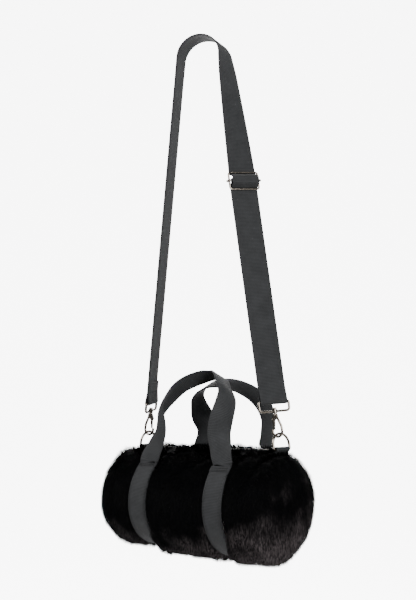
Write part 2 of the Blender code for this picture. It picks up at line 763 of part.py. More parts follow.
bag_pieces = [fur, padding, lining]
cap_start = BARREL_HALF_LENGTH + GAP
for side in bend:
    cap = dome("end_cap_" + side, side, BARREL_RADIUS, END_DEPTH, FUR_WALL, cap_start, FUR)
    depth = END_DEPTH - FUR_WALL - GAP
    pad = dome("padding_end_" + side, side, padding_outer, depth, PADDING_WALL, cap_start, PADDING)
    depth = depth - PADDING_WALL - GAP
    cloth = dome("lining_end_" + side, side, lining_outer, depth, LINING_WALL, cap_start, LINING)
    tab = make_ring(side)
    notch_half = TAB_THICK + GAP / 2 + GAP
    tab_front = HOOK_BACK - TAB_WIDTH / 2 - GAP
    tab_rear = HOOK_BACK + TAB_WIDTH / 2 + GAP
    for body in (fur, cap):
        notch = block(
            "tab_notch_%s_%s" % (side, body.name),
            (outward[side].x * seam_x - notch_half, tab_front, seam_top - TAB_TAIL - GAP),
            (outward[side].x * seam_x + notch_half, tab_rear, seam_top + OVERRUN),
            FUR,
        )
        cut(body, notch)
    bag_pieces += [cap, pad, cloth, tab]


# Zip: two tapes with their teeth, slider and pull
tape_top = barrel_z + BARREL_RADIUS - TAPE_SINK


def make_tape(name, sign):
    """One tape, its inner edge cut into teeth, seen from above."""
    low = -zip_half + GAP
    edge = ZIP_HALF_WIDTH - GAP
    root = CHAIN_GAP + TOOTH_LENGTH
    outline = [(low, edge), (low, root)]
    count = int((2 * zip_half - 2 * GAP) / TOOTH_PITCH)
    first = -(count - 1) * TOOTH_PITCH / 2
    for k in range(count):
        x = first + k * TOOTH_PITCH
        outline += [(x - TOOTH_WIDTH / 2, root), (x - TOOTH_WIDTH / 2, CHAIN_GAP)]
        outline += [(x + TOOTH_WIDTH / 2, CHAIN_GAP), (x + TOOTH_WIDTH / 2, root)]
    outline += [(-low, root), (-low, edge)]
    shape = bmesh.new()
    levels = (tape_top - TAPE_THICK, tape_top)
    rings = [[shape.verts.new((x, sign * y, z)) for x, y in outline] for z in levels]
    skin(shape, rings)
    return add_bmesh(name, shape, TAPE, smooth=False)


bag_pieces += [make_tape("zip_tape_front", -1), make_tape("zip_tape_rear", 1)]

slider_place = Matrix.Translation((SLIDER_FROM_END - zip_half, 0, tape_top))
half_l, half_w = SLIDER_LENGTH / 2, SLIDER_WIDTH / 2
plate_top = GAP + SLIDER_PLATE
slider = block(
    "zip_slider", (-half_l, -half_w, GAP), (half_l, half_w, plate_top), GUNMETAL, slider_place
)
under = -TAPE_THICK - GAP
sole_low = under - SLIDER_PLATE
sole = block(
    "slider_sole", (-half_l, -half_w, sole_low), (half_l, half_w, under), GUNMETAL, slider_place
)
neck_half = SLIDER_NECK / 2
neck = block(
    "slider_neck",
    (-half_l / 2, -neck_half, under - SLIDER_PLATE / 2),
    (half_l / 2, neck_half, GAP + SLIDER_PLATE / 2),
    GUNMETAL,
    slider_place,
)
span = BRIDGE_SPAN / 2
arch_outer = block(
    "slider_bridge",
    (-span - BRIDGE_BAR, -BRIDGE_WIDTH / 2, GAP + SLIDER_PLATE / 2),
    (span + BRIDGE_BAR, BRIDGE_WIDTH / 2, plate_top + BRIDGE_RISE + BRIDGE_BAR),
    GUNMETAL,
    slider_place,
)
arch_hole = block(
    "slider_bridge_hole",
    (-span, -BRIDGE_WIDTH, plate_top),
    (span, BRIDGE_WIDTH, plate_top + BRIDGE_RISE),
    GUNMETAL,
    slider_place,
)
cut(join(slider, sole, neck, arch_outer), arch_hole)

pull_place = slider_place @ Matrix.Translation((0, 0, plate_top + BRIDGE_RISE / 2))
pull = block(
    "zip_pull",
    (-PULL_BAR, -PULL_WIDTH / 2, -PULL_THICK / 2),
    (PULL_REACH, PULL_WIDTH / 2, PULL_THICK / 2),
    GUNMETAL,
    pull_place,
)
slot = block(
    "pull_slot",
    (PULL_BAR, -PULL_SLOT_WIDTH / 2, -PULL_THICK),
    (PULL_BAR + PULL_SLOT_LENGTH, PULL_SLOT_WIDTH / 2, PULL_THICK),
    GUNMETAL,
    pull_place,
)
cut(pull, slot)


# Bands round the belly, and the handles that grow out of them
band_line = cinch_radius + (GAP + HANDLE_THICK / 2) / math.cos(facet / 2)
for side in bend:
    x = outward[side].x * handle_x
    path = []
    for t in turns[STITCH_STEPS:BAG_SIDES - STITCH_STEPS]:
        path.append(barrel_centre + Vector((x, -band_line * math.sin(t), band_line * math.cos(t))))
    across = [Vector((1, 0, 0))] * len(path)
    band = ribbon("band_" + side, path, across, HANDLE_WIDTH, HANDLE_THICK, WEBBING, settle=settle)
    bag_pieces.append(band)

stitch = turns[STITCH_STEPS]
tilt_y, tilt_z = math.cos(HANDLE_TILT), math.sin(HANDLE_TILT)


def make_handle(name, sign, rise, top_y, half_shares):
    """One handle: up from the stitch line at one band, over, and down at the other."""
    outer = band_line + HANDLE_THICK / 2
    low = Vector((0, sign * band_line * math.sin(stitch), barrel_z + band_line * math.cos(stitch)))
    lift = Vector((0, -sign * math.cos(stitch), math.sin(stitch))) * FOOT_LIFT
    top_lean = top_y - settle(low).y
    shares = [(up, -out, lean) for up, out, lean in half_shares]
    shares += [(up, out, lean) for up, out, lean in reversed(half_shares[:-1])]
    path = []
    hints = []
    for up, out, lean in shares:
        share = min(max((up - TURN_START_SHARE) / (TURN_END_SHARE - TURN_START_SHARE), 0), 1)
        turn = QUARTER_TURN * share * share * (3 - 2 * share)
        facing = -1 if out > 0 else 1
        path.append(low + lift + Vector((out * handle_x, top_lean * lean, rise * up)))
        swept = math.sin(turn)
        hints.append(Vector((math.cos(turn) * facing, sign * swept * tilt_y, swept * tilt_z)))
    edge = Vector((0, sign * outer * math.sin(stitch), barrel_z + outer * math.cos(stitch)))
    hinge = settle(edge) + lift / 2

    def ride(spot):
        foot = Vector((spot.x, low.y, low.z))
        return spot + settle(foot) - foot

    return ribbon(name, path, hints, HANDLE_WIDTH, HANDLE_THICK, WEBBING, hinge, ride)


make_handle("handle_front", -1, FRONT_RISE, HANDLE_TOP_Y, FRONT_HALF_SHARES)
rear_top_y = HANDLE_TOP_Y + HANDLE_WIDTH * tilt_y + HANDLE_CLEAR
make_handle("handle_rear", 1, REAR_RISE, rear_top_y, REAR_HALF_SHARES)

swing = pivot("bag_swing", (0, HOOK_BACK, -HOOK_DEPTH))
carry(swing, *bag_pieces)
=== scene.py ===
# %% [markdown]
# # A small faux fur barrel bag
#
# The bag hangs from its shoulder strap. It has a tube of black faux fur with rounded ends, a zip
# along the top, two bands of webbing that wrap the belly and grow into carrying handles, and a
# long webbing strap on two swivel hooks. The engineering model gives every place and every
# joint. This lesson dresses it: each cell makes one piece or one finish.

# %% Load the frame
import math

import bmesh
import bpy
from mathutils import Matrix, Vector, noise


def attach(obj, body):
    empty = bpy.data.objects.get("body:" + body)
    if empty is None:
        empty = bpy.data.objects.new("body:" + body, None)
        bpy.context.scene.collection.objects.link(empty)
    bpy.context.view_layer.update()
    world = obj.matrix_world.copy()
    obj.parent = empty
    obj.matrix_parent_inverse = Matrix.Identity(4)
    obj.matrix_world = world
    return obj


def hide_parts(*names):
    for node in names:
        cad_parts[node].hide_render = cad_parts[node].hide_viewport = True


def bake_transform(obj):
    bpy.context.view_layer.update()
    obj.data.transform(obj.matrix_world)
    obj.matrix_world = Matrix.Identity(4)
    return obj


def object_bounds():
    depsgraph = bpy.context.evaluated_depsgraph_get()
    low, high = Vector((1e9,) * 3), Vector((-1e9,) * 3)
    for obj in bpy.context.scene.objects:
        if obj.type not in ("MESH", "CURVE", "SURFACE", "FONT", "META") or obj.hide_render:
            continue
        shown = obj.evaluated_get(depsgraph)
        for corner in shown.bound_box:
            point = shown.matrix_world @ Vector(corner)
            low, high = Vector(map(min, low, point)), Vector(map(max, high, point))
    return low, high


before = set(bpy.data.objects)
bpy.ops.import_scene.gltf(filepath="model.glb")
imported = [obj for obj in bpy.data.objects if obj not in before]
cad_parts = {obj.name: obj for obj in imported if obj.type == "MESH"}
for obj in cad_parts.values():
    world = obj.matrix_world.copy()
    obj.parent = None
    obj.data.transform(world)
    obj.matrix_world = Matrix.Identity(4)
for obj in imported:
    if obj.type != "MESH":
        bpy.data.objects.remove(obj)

cad_box = [list(corner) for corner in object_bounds()]
print("the engineering model spans", [[round(v, 3) for v in corner] for corner in cad_box])

# %% [markdown]
# ## Colours and nodes
#
# Colours are written as sRGB hex values, as they would be read from a photograph, and turned to
# the linear numbers that the renderer wants. Materials and geometry trees are both made of
# nodes, so one small function serves for both: it adds a node, sets it up, and links its inputs.
# A Mix node keeps its sockets for numbers, vectors and colours one after another: for colours
# the two inputs are 6 and 7, and the result is output 2.


# %% Two helpers for nodes
def linear(code):
    """An sRGB hex colour such as #44464a as linear red, green, blue and alpha."""
    parts = [int(code[k:k + 2], 16) / 255 for k in (1, 3, 5)]
    return [p / 12.92 if p <= 0.04045 else ((p + 0.055) / 1.055) ** 2.4 for p in parts] + [1.0]


def add_node(tree, kind, inputs=None, **settings):
    """Add a node with its settings; each input is given a value or another node's socket."""
    made = tree.nodes.new(kind)
    for name, value in settings.items():
        setattr(made, name, value)
    for socket, source in (inputs or {}).items():
        if isinstance(source, bpy.types.NodeSocket):
            tree.links.new(source, made.inputs[socket])
        else:
            made.inputs[socket].default_value = source
    return made


def new_finish(name, **shine):
    """A material with a Principled shader whose even values sit on its own sockets."""
    made = bpy.data.materials.new(name)
    made.use_nodes = True
    shader = made.node_tree.nodes["Principled BSDF"]
    for socket, value in shine.items():
        shader.inputs[socket.replace("_", " ")].default_value = value
    return made, made.node_tree, shader


# %% [markdown]
# ## The webbing
#
# The strap, bands and handles are woven polyester webbing: flat, matt, almost black, with a fine
# rib across it and a soft sheen at grazing angles. The ribs are about 1 mm apart on the real
# thing, which is finer than a pixel here, so they are drawn 1.8 mm apart. The pattern follows
# the piece's own UV map, whose two axes are the distance across and along the tape in metres.
# That way the weave bends and twists with the tape.

# %% Webbing material
RIB_SPACING, WARP_SPACING = 0.0018, 0.0012
WAVE_PERIOD = math.pi / 10  # how far apart a wave texture's bands lie at scale 1


def make_webbing(name, dark, light, rib=RIB_SPACING):
    """Woven polyester: ribs along the tape times warp yarns across it, for tone and bump."""
    made, tree, shader = new_finish(
        name, Metallic=0.0, IOR=1.5, Specular_IOR_Level=0.3, Sheen_Weight=0.12, Sheen_Roughness=0.4
    )
    place = add_node(tree, "ShaderNodeUVMap", uv_map="tape")
    ribs = add_node(
        tree, "ShaderNodeTexWave",
        {"Vector": place.outputs["UV"], "Scale": WAVE_PERIOD / rib, "Distortion": 0.4},
        bands_direction="Y",
    )
    warp = add_node(
        tree, "ShaderNodeTexWave",
        {"Vector": place.outputs["UV"], "Scale": WAVE_PERIOD / WARP_SPACING, "Distortion": 0.3},
        bands_direction="X",
    )
    weave = add_node(
        tree, "ShaderNodeMath", {0: ribs.outputs["Fac"], 1: warp.outputs["Fac"]},
        operation="MULTIPLY",
    )
    wear = add_node(tree, "ShaderNodeTexNoise", {"Vector": place.outputs["UV"], "Scale": 55.0})
    worn = add_node(
        tree, "ShaderNodeMath", {0: weave.outputs[0], 1: wear.outputs["Fac"]}, operation="ADD"
    )
    tone = add_node(
        tree, "ShaderNodeMapRange", {"Value": worn.outputs[0], "From Min": 0.3, "From Max": 1.3}
    )
    colour = add_node(
        tree, "ShaderNodeMix",
        {"Factor": tone.outputs[0], 6: linear(dark), 7: linear(light)}, data_type="RGBA",
    )
    rough = add_node(
        tree, "ShaderNodeMapRange",
        {"Value": weave.outputs[0], "To Min": 0.86, "To Max": 0.62},
    )
    bump = add_node(
        tree, "ShaderNodeBump",
        {"Height": weave.outputs[0], "Strength": 0.35, "Distance": 0.0004},
    )
    tree.links.new(colour.outputs[2], shader.inputs["Base Color"])
    tree.links.new(rough.outputs[0], shader.inputs["Roughness"])
    tree.links.new(bump.outputs[0], shader.inputs["Normal"])
    return made


POLYESTER_WEBBING = make_webbing("woven_polyester_webbing", "#1f2021", "#37383a")
HERRINGBONE_TAPE = make_webbing("woven_zip_tape", "#101113", "#1c1d20", WARP_SPACING)
print("webbing finishes:", POLYESTER_WEBBING.name, "and", HERRINGBONE_TAPE.name)

# %% [markdown]
# ## Metal, thread and the hidden cloths
#
# The hooks, rings and adjuster are die-cast zinc with a polished gunmetal plating: a warm grey
# mirror with faint handling marks, so the roughness varies a little. The zip's teeth are bare
# nickel. Lining, wadding and the leaf springs hardly show, but each still gets its own finish.
# The grain is the size of one mark or fibre in metres, and one over it is the noise's scale.


# %% Metal, thread, lining, wadding
def make_plated(name, colour, low, high, grain):
    """Plated metal: an even colour, with a roughness that varies in fine handling marks."""
    made, tree, shader = new_finish(name, Metallic=1.0, Base_Color=linear(colour))
    place = add_node(tree, "ShaderNodeTexCoord")
    marks = add_node(
        tree, "ShaderNodeTexNoise",
        {"Vector": place.outputs["Object"], "Scale": 1 / grain, "Detail": 2.0},
    )
    rough = add_node(
        tree, "ShaderNodeMapRange",
        {"Value": marks.outputs["Fac"], "From Min": 0.3, "From Max": 0.7, "To Min": low,
         "To Max": high},
    )
    tree.links.new(rough.outputs[0], shader.inputs["Roughness"])
    return made


GUNMETAL_PLATE = make_plated("polished_gunmetal_plated_zinc", "#8d857c", 0.12, 0.18, 0.015)
NICKEL = make_plated("tumbled_nickel_teeth", "#a9a7a2", 0.28, 0.42, 0.001)
SPRING_STEEL = make_plated("bright_spring_steel", "#b4b4b2", 0.25, 0.35, 0.002)


def make_cloth(name, dark, light, grain, rough):
    """A plain cloth or wadding: two close tones in a fine noise, with a matching bump."""
    made, tree, shader = new_finish(name, Metallic=0.0, Roughness=rough, IOR=1.5)
    place = add_node(tree, "ShaderNodeTexCoord")
    fibres = add_node(
        tree, "ShaderNodeTexNoise",
        {"Vector": place.outputs["Object"], "Scale": 1 / grain, "Detail": 4.0},
    )
    colour = add_node(
        tree, "ShaderNodeMix",
        {"Factor": fibres.outputs["Fac"], 6: linear(dark), 7: linear(light)}, data_type="RGBA",
    )
    bump = add_node(
        tree, "ShaderNodeBump",
        {"Height": fibres.outputs["Fac"], "Strength": 0.4, "Distance": grain / 2},
    )
    tree.links.new(colour.outputs[2], shader.inputs["Base Color"])
    tree.links.new(bump.outputs[0], shader.inputs["Normal"])
    return made


SEWING_THREAD = make_cloth("bonded_polyester_thread", "#060607", "#0e0f11", 0.0006, 0.5)
LINING_CLOTH = make_cloth("polyester_lining_cloth", "#18181b", "#242428", 0.0008, 0.6)
WADDING = make_cloth("polyester_wadding", "#c8c7c2", "#e4e3de", 0.003, 0.95)
FUR_GROUND = make_cloth("knitted_fur_ground", "#050506", "#0d0c0d", 0.0015, 0.95)
print("finishes so far:", [finish.name for finish in bpy.data.materials])

# %% [markdown]
# ## Places
#
# The sizes below are the ones that the engineering model was drawn from, in metres. The origin
# is under the top of the strap. The bag's long axis is X and its front faces -Y.

# %% Sizes and local frames
BARREL_RADIUS, BARREL_HALF, BARREL_Z = 0.071, 0.108, -0.6075
CINCH_RADIUS, BAND_X, BAND_WIDTH, BAND_THICK = 0.067, 0.060, 0.030, 0.0018
STRAP_WIDTH, STRAP_THICK, GAP = 0.038, 0.0015, 0.0003
HOOK_X, HOOK_DEPTH, HOOK_BACK, ARCH_RADIUS = 0.1074, 0.5245, 0.005, 0.030
EYE_UP, SIDE_PLAY = 0.0441, 0.0005
SLOPE, LEVEL_X, FORWARD = 0.06, 0.040, 0.06
TAB_DIP, DIP_START = 0.0075, 0.08785
DIP_TURN = {"left": math.radians(25), "right": math.radians(60)}
ADJUSTER_UP, BRIDGE_REACH, RUN_ABOVE, LOOP_TAIL = 0.2876, 0.016, 0.055, 0.040
APEX_YAW, RIGHT_YAW = math.radians(-22), math.radians(27)
QUARTER = math.pi / 2
bag_top = BARREL_Z + BARREL_RADIUS


def local_frame(origin, up, front):
    """A frame with z along up and y as near to front as it can be."""
    z = up.normalized()
    x = front.cross(z).normalized()
    return Matrix.Translation(origin) @ Matrix((x, z.cross(x), z)).transposed().to_4x4()


def settle(spot):
    """The soft bag hangs fuller to the right and the front, and dips round its two tabs."""
    depth = bag_top - spot.z
    lift = SLOPE * (LEVEL_X - spot.x) * depth / (2 * BARREL_RADIUS)
    near = min(max((abs(spot.x) - DIP_START) / (BARREL_HALF - DIP_START), 0), 1)
    turn = math.atan2(spot.y, spot.z - BARREL_Z) - math.atan2(HOOK_BACK, BARREL_RADIUS)
    wide = max(1 - (turn / DIP_TURN["left" if spot.x < 0 else "right"]) ** 4, 0)
    dip = TAB_DIP * near * wide * max(1 - depth / BARREL_RADIUS, 0)
    return Vector((spot.x, spot.y - FORWARD * depth, spot.z + lift - dip))


strap_line = ARCH_RADIUS + STRAP_THICK / 2
along_top = Vector((math.cos(APEX_YAW), -math.sin(APEX_YAW), 0))
arch_end = QUARTER - math.atan((HOOK_X * math.cos(APEX_YAW) - strap_line) / HOOK_DEPTH)


def arch_point(turn):
    """A point of the strap's arch, turn radians from its top."""
    up = Vector((0, 0, math.cos(turn)))
    return Vector((0, 0, -ARCH_RADIUS)) + strap_line * (along_top * math.sin(turn) + up)


outward = {"left": Vector((-1, 0, 0)), "right": Vector((1, 0, 0))}
bend = {side: Vector((way.x * HOOK_X, HOOK_BACK, -HOOK_DEPTH)) for side, way in outward.items()}
arch_foot = {"left": arch_point(-arch_end), "right": arch_point(arch_end)}
leg_up = {side: (arch_foot[side] - bend[side]).normalized() for side in bend}
eye_top = {side: bend[side] + leg_up[side] * EYE_UP for side in bend}
face_yaw = {"left": APEX_YAW, "right": RIGHT_YAW}
leg_frame = {}
hook_frame = {}
for side in bend:
    face = Vector((math.cos(face_yaw[side]), -math.sin(face_yaw[side]), 0)) * outward[side].x
    leg_frame[side] = local_frame(eye_top[side], leg_up[side], face)
    hook_frame[side] = local_frame(bend[side], leg_up[side], leg_up[side].cross(outward[side]))
adjuster_place = leg_frame["right"] @ Matrix.Translation((0, 0, ADJUSTER_UP))
print("the right leg rises along", [round(v, 4) for v in leg_up["right"]])

# %% [markdown]
# ## The camera
#
# The camera was fitted to the outline in the photograph: it stands 38.5 degrees round to the
# right and 1.61 m away, at the height of the hooks, and looks up a little. The matrix is
# written from its three directions, so that the small roll is exact.

# %% Camera
CAMERA_AZIMUTH, CAMERA_DISTANCE, CAMERA_HEIGHT = math.radians(38.531), 1.6111, -0.4561
CAMERA_PITCH, CAMERA_ROLL = math.radians(3.838), math.radians(-0.828)
FOCAL_PIXELS, SHIFT_PIXELS, PHOTO_HEIGHT, SENSOR = 1234.8, 1.51, 600, 36.0

camera_data = bpy.data.cameras.new("camera")
camera_data.sensor_width = SENSOR
camera_data.lens = FOCAL_PIXELS / PHOTO_HEIGHT * SENSOR
camera_data.shift_x = SHIFT_PIXELS / PHOTO_HEIGHT
camera = bpy.data.objects.new("camera", camera_data)
bpy.context.scene.collection.objects.link(camera)
aim = Vector((
    -math.sin(CAMERA_AZIMUTH) * math.cos(CAMERA_PITCH),
    math.cos(CAMERA_AZIMUTH) * math.cos(CAMERA_PITCH),
    math.sin(CAMERA_PITCH),
))
level = Vector((math.cos(CAMERA_AZIMUTH), math.sin(CAMERA_AZIMUTH), 0))
top = level.cross(aim)
camera_right = level * math.cos(CAMERA_ROLL) + top * math.sin(CAMERA_ROLL)
camera_up = top * math.cos(CAMERA_ROLL) - level * math.sin(CAMERA_ROLL)
turned = Matrix((camera_right, camera_up, -aim)).transposed().to_4x4()
stand = Vector((
    math.sin(CAMERA_AZIMUTH) * CAMERA_DISTANCE,
    -math.cos(CAMERA_AZIMUTH) * CAMERA_DISTANCE,
    CAMERA_HEIGHT,
))
camera.matrix_world = Matrix.Translation(stand) @ turned
bpy.context.scene.camera = camera
print("lens", round(camera_data.lens, 2), "mm")

# %% [markdown]
# ## Floor, backdrop and light
#
# The photograph is a cut-out on pure white. Here a backdrop of milk glass, lit from inside,
# stands far behind the bag and fills the picture, and a plain pale floor lies below. Because
# the backdrop is far away it lights the bag only a little, so the front can stay as dark as it
# is in the photograph: one large soft light comes from the upper left, a second one from the
# right, and a weak one from the back.

# %% Floor, backdrop and lights
FLOOR_DROP, BACKDROP_AWAY, BACKDROP_SIZE = 1.0, 4.6, (3.0, 4.4)


def add_light(name, place, target, size, power):
    """A square soft light that faces a target point."""
    data = bpy.data.lights.new(name, "AREA")
    data.shape = "SQUARE"
    data.size = size
    data.energy = power
    made = bpy.data.objects.new(name, data)
    bpy.context.scene.collection.objects.link(made)
    made.location = place
    made.rotation_euler = (Vector(target) - Vector(place)).to_track_quat("-Z", "Y").to_euler()


def add_sheet(name, width, height, finish):
    """A flat sheet on the local XY plane, under one finish."""
    mesh = bpy.data.meshes.new(name)
    corners = [(x * width / 2, y * height / 2, 0) for x, y in ((-1, -1), (1, -1), (1, 1), (-1, 1))]
    mesh.from_pydata(corners, [], [(0, 1, 2, 3)])
    mesh.materials.append(finish)
    made = bpy.data.objects.new(name, mesh)
    bpy.context.scene.collection.objects.link(made)
    return made


PALE_FLOOR = new_finish("pale_painted_floor", Base_Color=linear("#f4f4f4"), Roughness=0.9)[0]
MILK_GLASS = new_finish(
    "lit_milk_glass", Emission_Color=linear("#ffffff"), Emission_Strength=7.5
)[0]
floor = add_sheet("studio_floor", 12.0, 12.0, PALE_FLOOR)
floor.location.z = cad_box[0][2] - FLOOR_DROP
backdrop = add_sheet("studio_backdrop", BACKDROP_SIZE[0], BACKDROP_SIZE[1], MILK_GLASS)
level_aim = Vector((-math.sin(CAMERA_AZIMUTH), math.cos(CAMERA_AZIMUTH), 0))
backdrop.location = level_aim * BACKDROP_AWAY
backdrop.rotation_euler = (-level_aim).to_track_quat("Z", "Y").to_euler()

world = bpy.data.worlds.new("studio_grey")
world.use_nodes = True
sky = world.node_tree.nodes["Background"].inputs
sky["Color"].default_value = linear("#ffffff")
sky["Strength"].default_value = 0.15
bpy.context.scene.world = world
add_light("key_light", (-1.2, -1.6, 0.9), (0, 0, -0.4), 1.2, 50.0)
add_light("fill_light", (1.9, -0.8, 0.3), (0, 0, -0.4), 1.4, 56.0)
add_light("rim_light", (0.3, 1.6, 0.6), (0, 0, -0.45), 1.0, 5.0)
print("stage:", floor.name, "and", backdrop.name, "under", len(bpy.data.lights), "lights")

# %% [markdown]
# ## Sweeping a section along a path
#
# Webbing, wire and tape are all one idea: a small outline carried along a path. The outline is
# given as pairs of distances, across the tape and out of its face. At each point of the path a
# hint says which way across is, so a twist is just a row of turning hints, and a straight piece
# needs only one hint. The UV map is written at the same time, in metres across and along.


# %% Outlines of a tape and a wire
def tape_section(width, thick, bow=0.0):
    """The outline of a tape: two faces, slightly bowed, and round selvedges."""
    flats = 6
    half = width / 2 - thick / 2
    spots = []
    for face in (1, -1):
        for k in range(flats + 1):
            x = face * half * (1 - 2 * k / flats)
            spots.append((x, face * thick / 2 + bow * (1 - (x / half) ** 2)))
        for angle in (math.radians(45), 0.0):
            reach = half + thick / 2 * math.cos(angle)
            spots.append((-face * reach, face * thick / 2 * math.sin(angle)))
    return spots


def round_section(radius, sides=16):
    """The outline of a wire."""
    return [
        (radius * math.cos(2 * math.pi * k / sides), radius * math.sin(2 * math.pi * k / sides))
        for k in range(sides)
    ]


# %% From a bmesh to a finished object
def make_piece(name, shape, finish, smooth=math.radians(40)):
    """Turn a bmesh into a finished object at the origin, faces out, under one material."""
    bmesh.ops.recalc_face_normals(shape, faces=shape.faces)
    mesh = bpy.data.meshes.new(name)
    shape.to_mesh(mesh)
    shape.free()
    mesh.shade_smooth()
    mesh.set_sharp_from_angle(angle=smooth)
    mesh.materials.append(finish)
    made = bpy.data.objects.new(name, mesh)
    bpy.context.scene.collection.objects.link(made)
    return made


# %% The sweep
def sweep_into(shape, path, hints, section, closed=False, form=None, bows=None):
    """Add a swept solid to a bmesh; bows cup its section on the way, and a form bends it."""
    hints = [hints] * len(path) if isinstance(hints, Vector) else hints
    form = form or (lambda spot: spot)
    bows = bows or [0.0] * len(path)
    half = max(a for a, b in section)
    uv_map = shape.loops.layers.uv.get("tape") or shape.loops.layers.uv.new("tape")
    rings = []
    for k, point in enumerate(path):
        before = path[k - 1] if k or closed else path[0]
        after = path[(k + 1) % len(path)] if k + 1 < len(path) or closed else path[-1]
        along = (after - before).normalized()
        across = (hints[k] - along * hints[k].dot(along)).normalized()
        out = across.cross(along)
        cup = [(a, b + bows[k] * (1 - (a / half) ** 2)) for a, b in section]
        rings.append([shape.verts.new(form(point + across * a + out * b)) for a, b in cup])
    count = len(section)
    travel = 0.0
    spans = list(zip(range(len(path)), list(range(1, len(path))) + ([0] if closed else [])))
    for k, j in spans:
        length = (path[j] - path[k]).length
        for i in range(count):
            n = (i + 1) % count
            face = shape.faces.new((rings[k][i], rings[k][n], rings[j][n], rings[j][i]))
            uvs = ((i, travel), (n, travel), (n, travel + length), (i, travel + length))
            for loop, (corner, v) in zip(face.loops, uvs):
                loop[uv_map].uv = (section[corner][0], v)
        travel += length
    if not closed:
        for ring in (rings[0], rings[-1]):
            shape.faces.new(ring)


def sweep(name, path, hints, section, finish, form=None, bows=None):
    """One swept piece."""
    shape = bmesh.new()
    sweep_into(shape, path, hints, section, form=form, bows=bows)
    return make_piece(name, shape, finish)


# %% Arcs, rounded corners and drawn wires
def arc(centre, radius, start, end, steps):
    """Points of an arc in a plane, angles in radians."""
    turns = [start + (end - start) * k / steps for k in range(steps + 1)]
    return [(centre[0] + radius * math.cos(t), centre[1] + radius * math.sin(t)) for t in turns]


def rounded(points, radii, steps=6, closed=False):
    """The same outline with each corner rounded to its radius."""
    made = []
    for k, point in enumerate(points):
        if not closed and k in (0, len(points) - 1):
            made.append(point)
            continue
        here = Vector(point)
        back = (Vector(points[k - 1]) - here).normalized()
        ahead = (Vector(points[(k + 1) % len(points)]) - here).normalized()
        half = back.angle(ahead) / 2
        centre = here + (back + ahead).normalized() * radii[k] / math.sin(half)
        first = here + back * radii[k] / math.tan(half) - centre
        last = here + ahead * radii[k] / math.tan(half) - centre
        for j in range(steps + 1):
            made.append(tuple(centre + first.slerp(last, j / steps).normalized() * radii[k]))
    return made


def side_path(place, points):
    """A path drawn from the side, as (front, up) pairs in a local frame."""
    return [place @ Vector((0, d, s)) for d, s in points]


def bend_into(shape, place, points, section, closed=False):
    """Add a bent bar, drawn as (x, z) pairs in a local frame, to a bmesh."""
    path = [place @ Vector((x, 0, z)) for x, z in points]
    sweep_into(shape, path, place.to_3x3() @ Vector((0, 1, 0)), section, closed)


def wire(name, place, points, radius, finish):
    """A closed ring of bent wire."""
    shape = bmesh.new()
    bend_into(shape, place, points, round_section(radius), closed=True)
    return make_piece(name, shape, finish)


# %% What a piece rides on and stands for
def finish_piece(piece, body, slot, *nodes):
    """Say what a piece rides on and hide the parts it stands for; the slot is not used."""
    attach(piece, body)
    if nodes:
        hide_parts(*nodes)
    print(piece.name, len(piece.data.polygons), "faces")


# %% [markdown]
# ## The shoulder strap
#
# One length of 38 mm webbing is folded round the eye of the left hook and sewn, runs up and over
# the top, and comes down to the adjuster. On the way it turns by about 50 degrees, because the
# two ends face different ways. Each leg is a tape swept along a line whose hints turn with
# depth. The short runs beside the adjuster stretch and shrink as it slides; here each is swept
# once, as a piece of its own.

# %% How the strap turns
ARCH_STEPS, RUN_STEPS, EYE_WIRE = 32, 20, 0.0016
# How far down the turning part, and what share of the turn is done there
TWISTS = ((0.0, 0.0), (0.14, 0.25), (0.27, 0.43), (0.53, 0.63), (0.86, 0.88), (1.0, 1.0))
STRAP_SECTION = tape_section(STRAP_WIDTH, STRAP_THICK)
layer = (STRAP_THICK + GAP) / 2
wrap_line = EYE_WIRE + GAP + STRAP_THICK / 2
twist_depth = -(adjuster_place @ Vector((0, 0, BRIDGE_REACH))).z


def strap_across(depth):
    """Which way is across the right leg at a depth below the top."""
    place = min(max(depth / twist_depth, 0), 1)
    share = 1.0
    for (low, a), (high, b) in zip(TWISTS, TWISTS[1:]):
        if low <= place <= high:
            share = a + (b - a) * (place - low) / (high - low)
    yaw = APEX_YAW + (RIGHT_YAW - APEX_YAW) * share
    return Vector((math.sin(yaw), math.cos(yaw), 0))


# %% Strap from the left hook to the adjuster
left = leg_frame["left"]
fold = [(-layer, 0.028), (-layer, 0.014)]
fold += arc((0, 0), wrap_line, math.pi, 2 * math.pi, 14)
fold += [(layer, 0.014), (layer, 0.028), (layer, 0.068)]
strap_path = side_path(left, fold)
strap_path += [strap_path[-1].lerp(arch_foot["left"], k / 13) for k in range(1, 13)]
strap_hints = [left.to_3x3() @ Vector((1, 0, 0))] * len(strap_path)
for k in range(ARCH_STEPS + 1):
    turn = -arch_end + 2 * arch_end * k / ARCH_STEPS
    spot = arch_point(turn)
    strap_path.append(spot)
    strap_hints.append(strap_across(-spot.z) if turn > 0 else strap_across(0))
run_top = leg_frame["right"] @ Vector((0, layer, ADJUSTER_UP + RUN_ABOVE))
for k in range(1, RUN_STEPS + 1):
    spot = arch_foot["right"].lerp(run_top, k / RUN_STEPS)
    strap_path.append(spot)
    strap_hints.append(strap_across(-spot.z))
shoulder_strap = sweep(
    "shoulder_strap", strap_path, strap_hints, STRAP_SECTION, POLYESTER_WEBBING
)
finish_piece(shoulder_strap, "strap", "webbing", "strap_over")

# %% Run into the adjuster
run_bottom = adjuster_place @ Vector((0, layer, BRIDGE_REACH))
run_path = [run_top.lerp(run_bottom, k / 8) for k in range(9)]
strap_run = sweep(
    "strap_run_web", run_path, [strap_across(-spot.z) for spot in run_path], STRAP_SECTION,
    POLYESTER_WEBBING,
)
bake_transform(strap_run)
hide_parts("strap_run")

# %% [markdown]
# ## The adjuster
#
# A rectangular wire frame with a middle bar whose ends curl round the frame. The strap goes
# behind both end bars and bulges over the middle one, and its own end is sewn round that bar
# underneath.

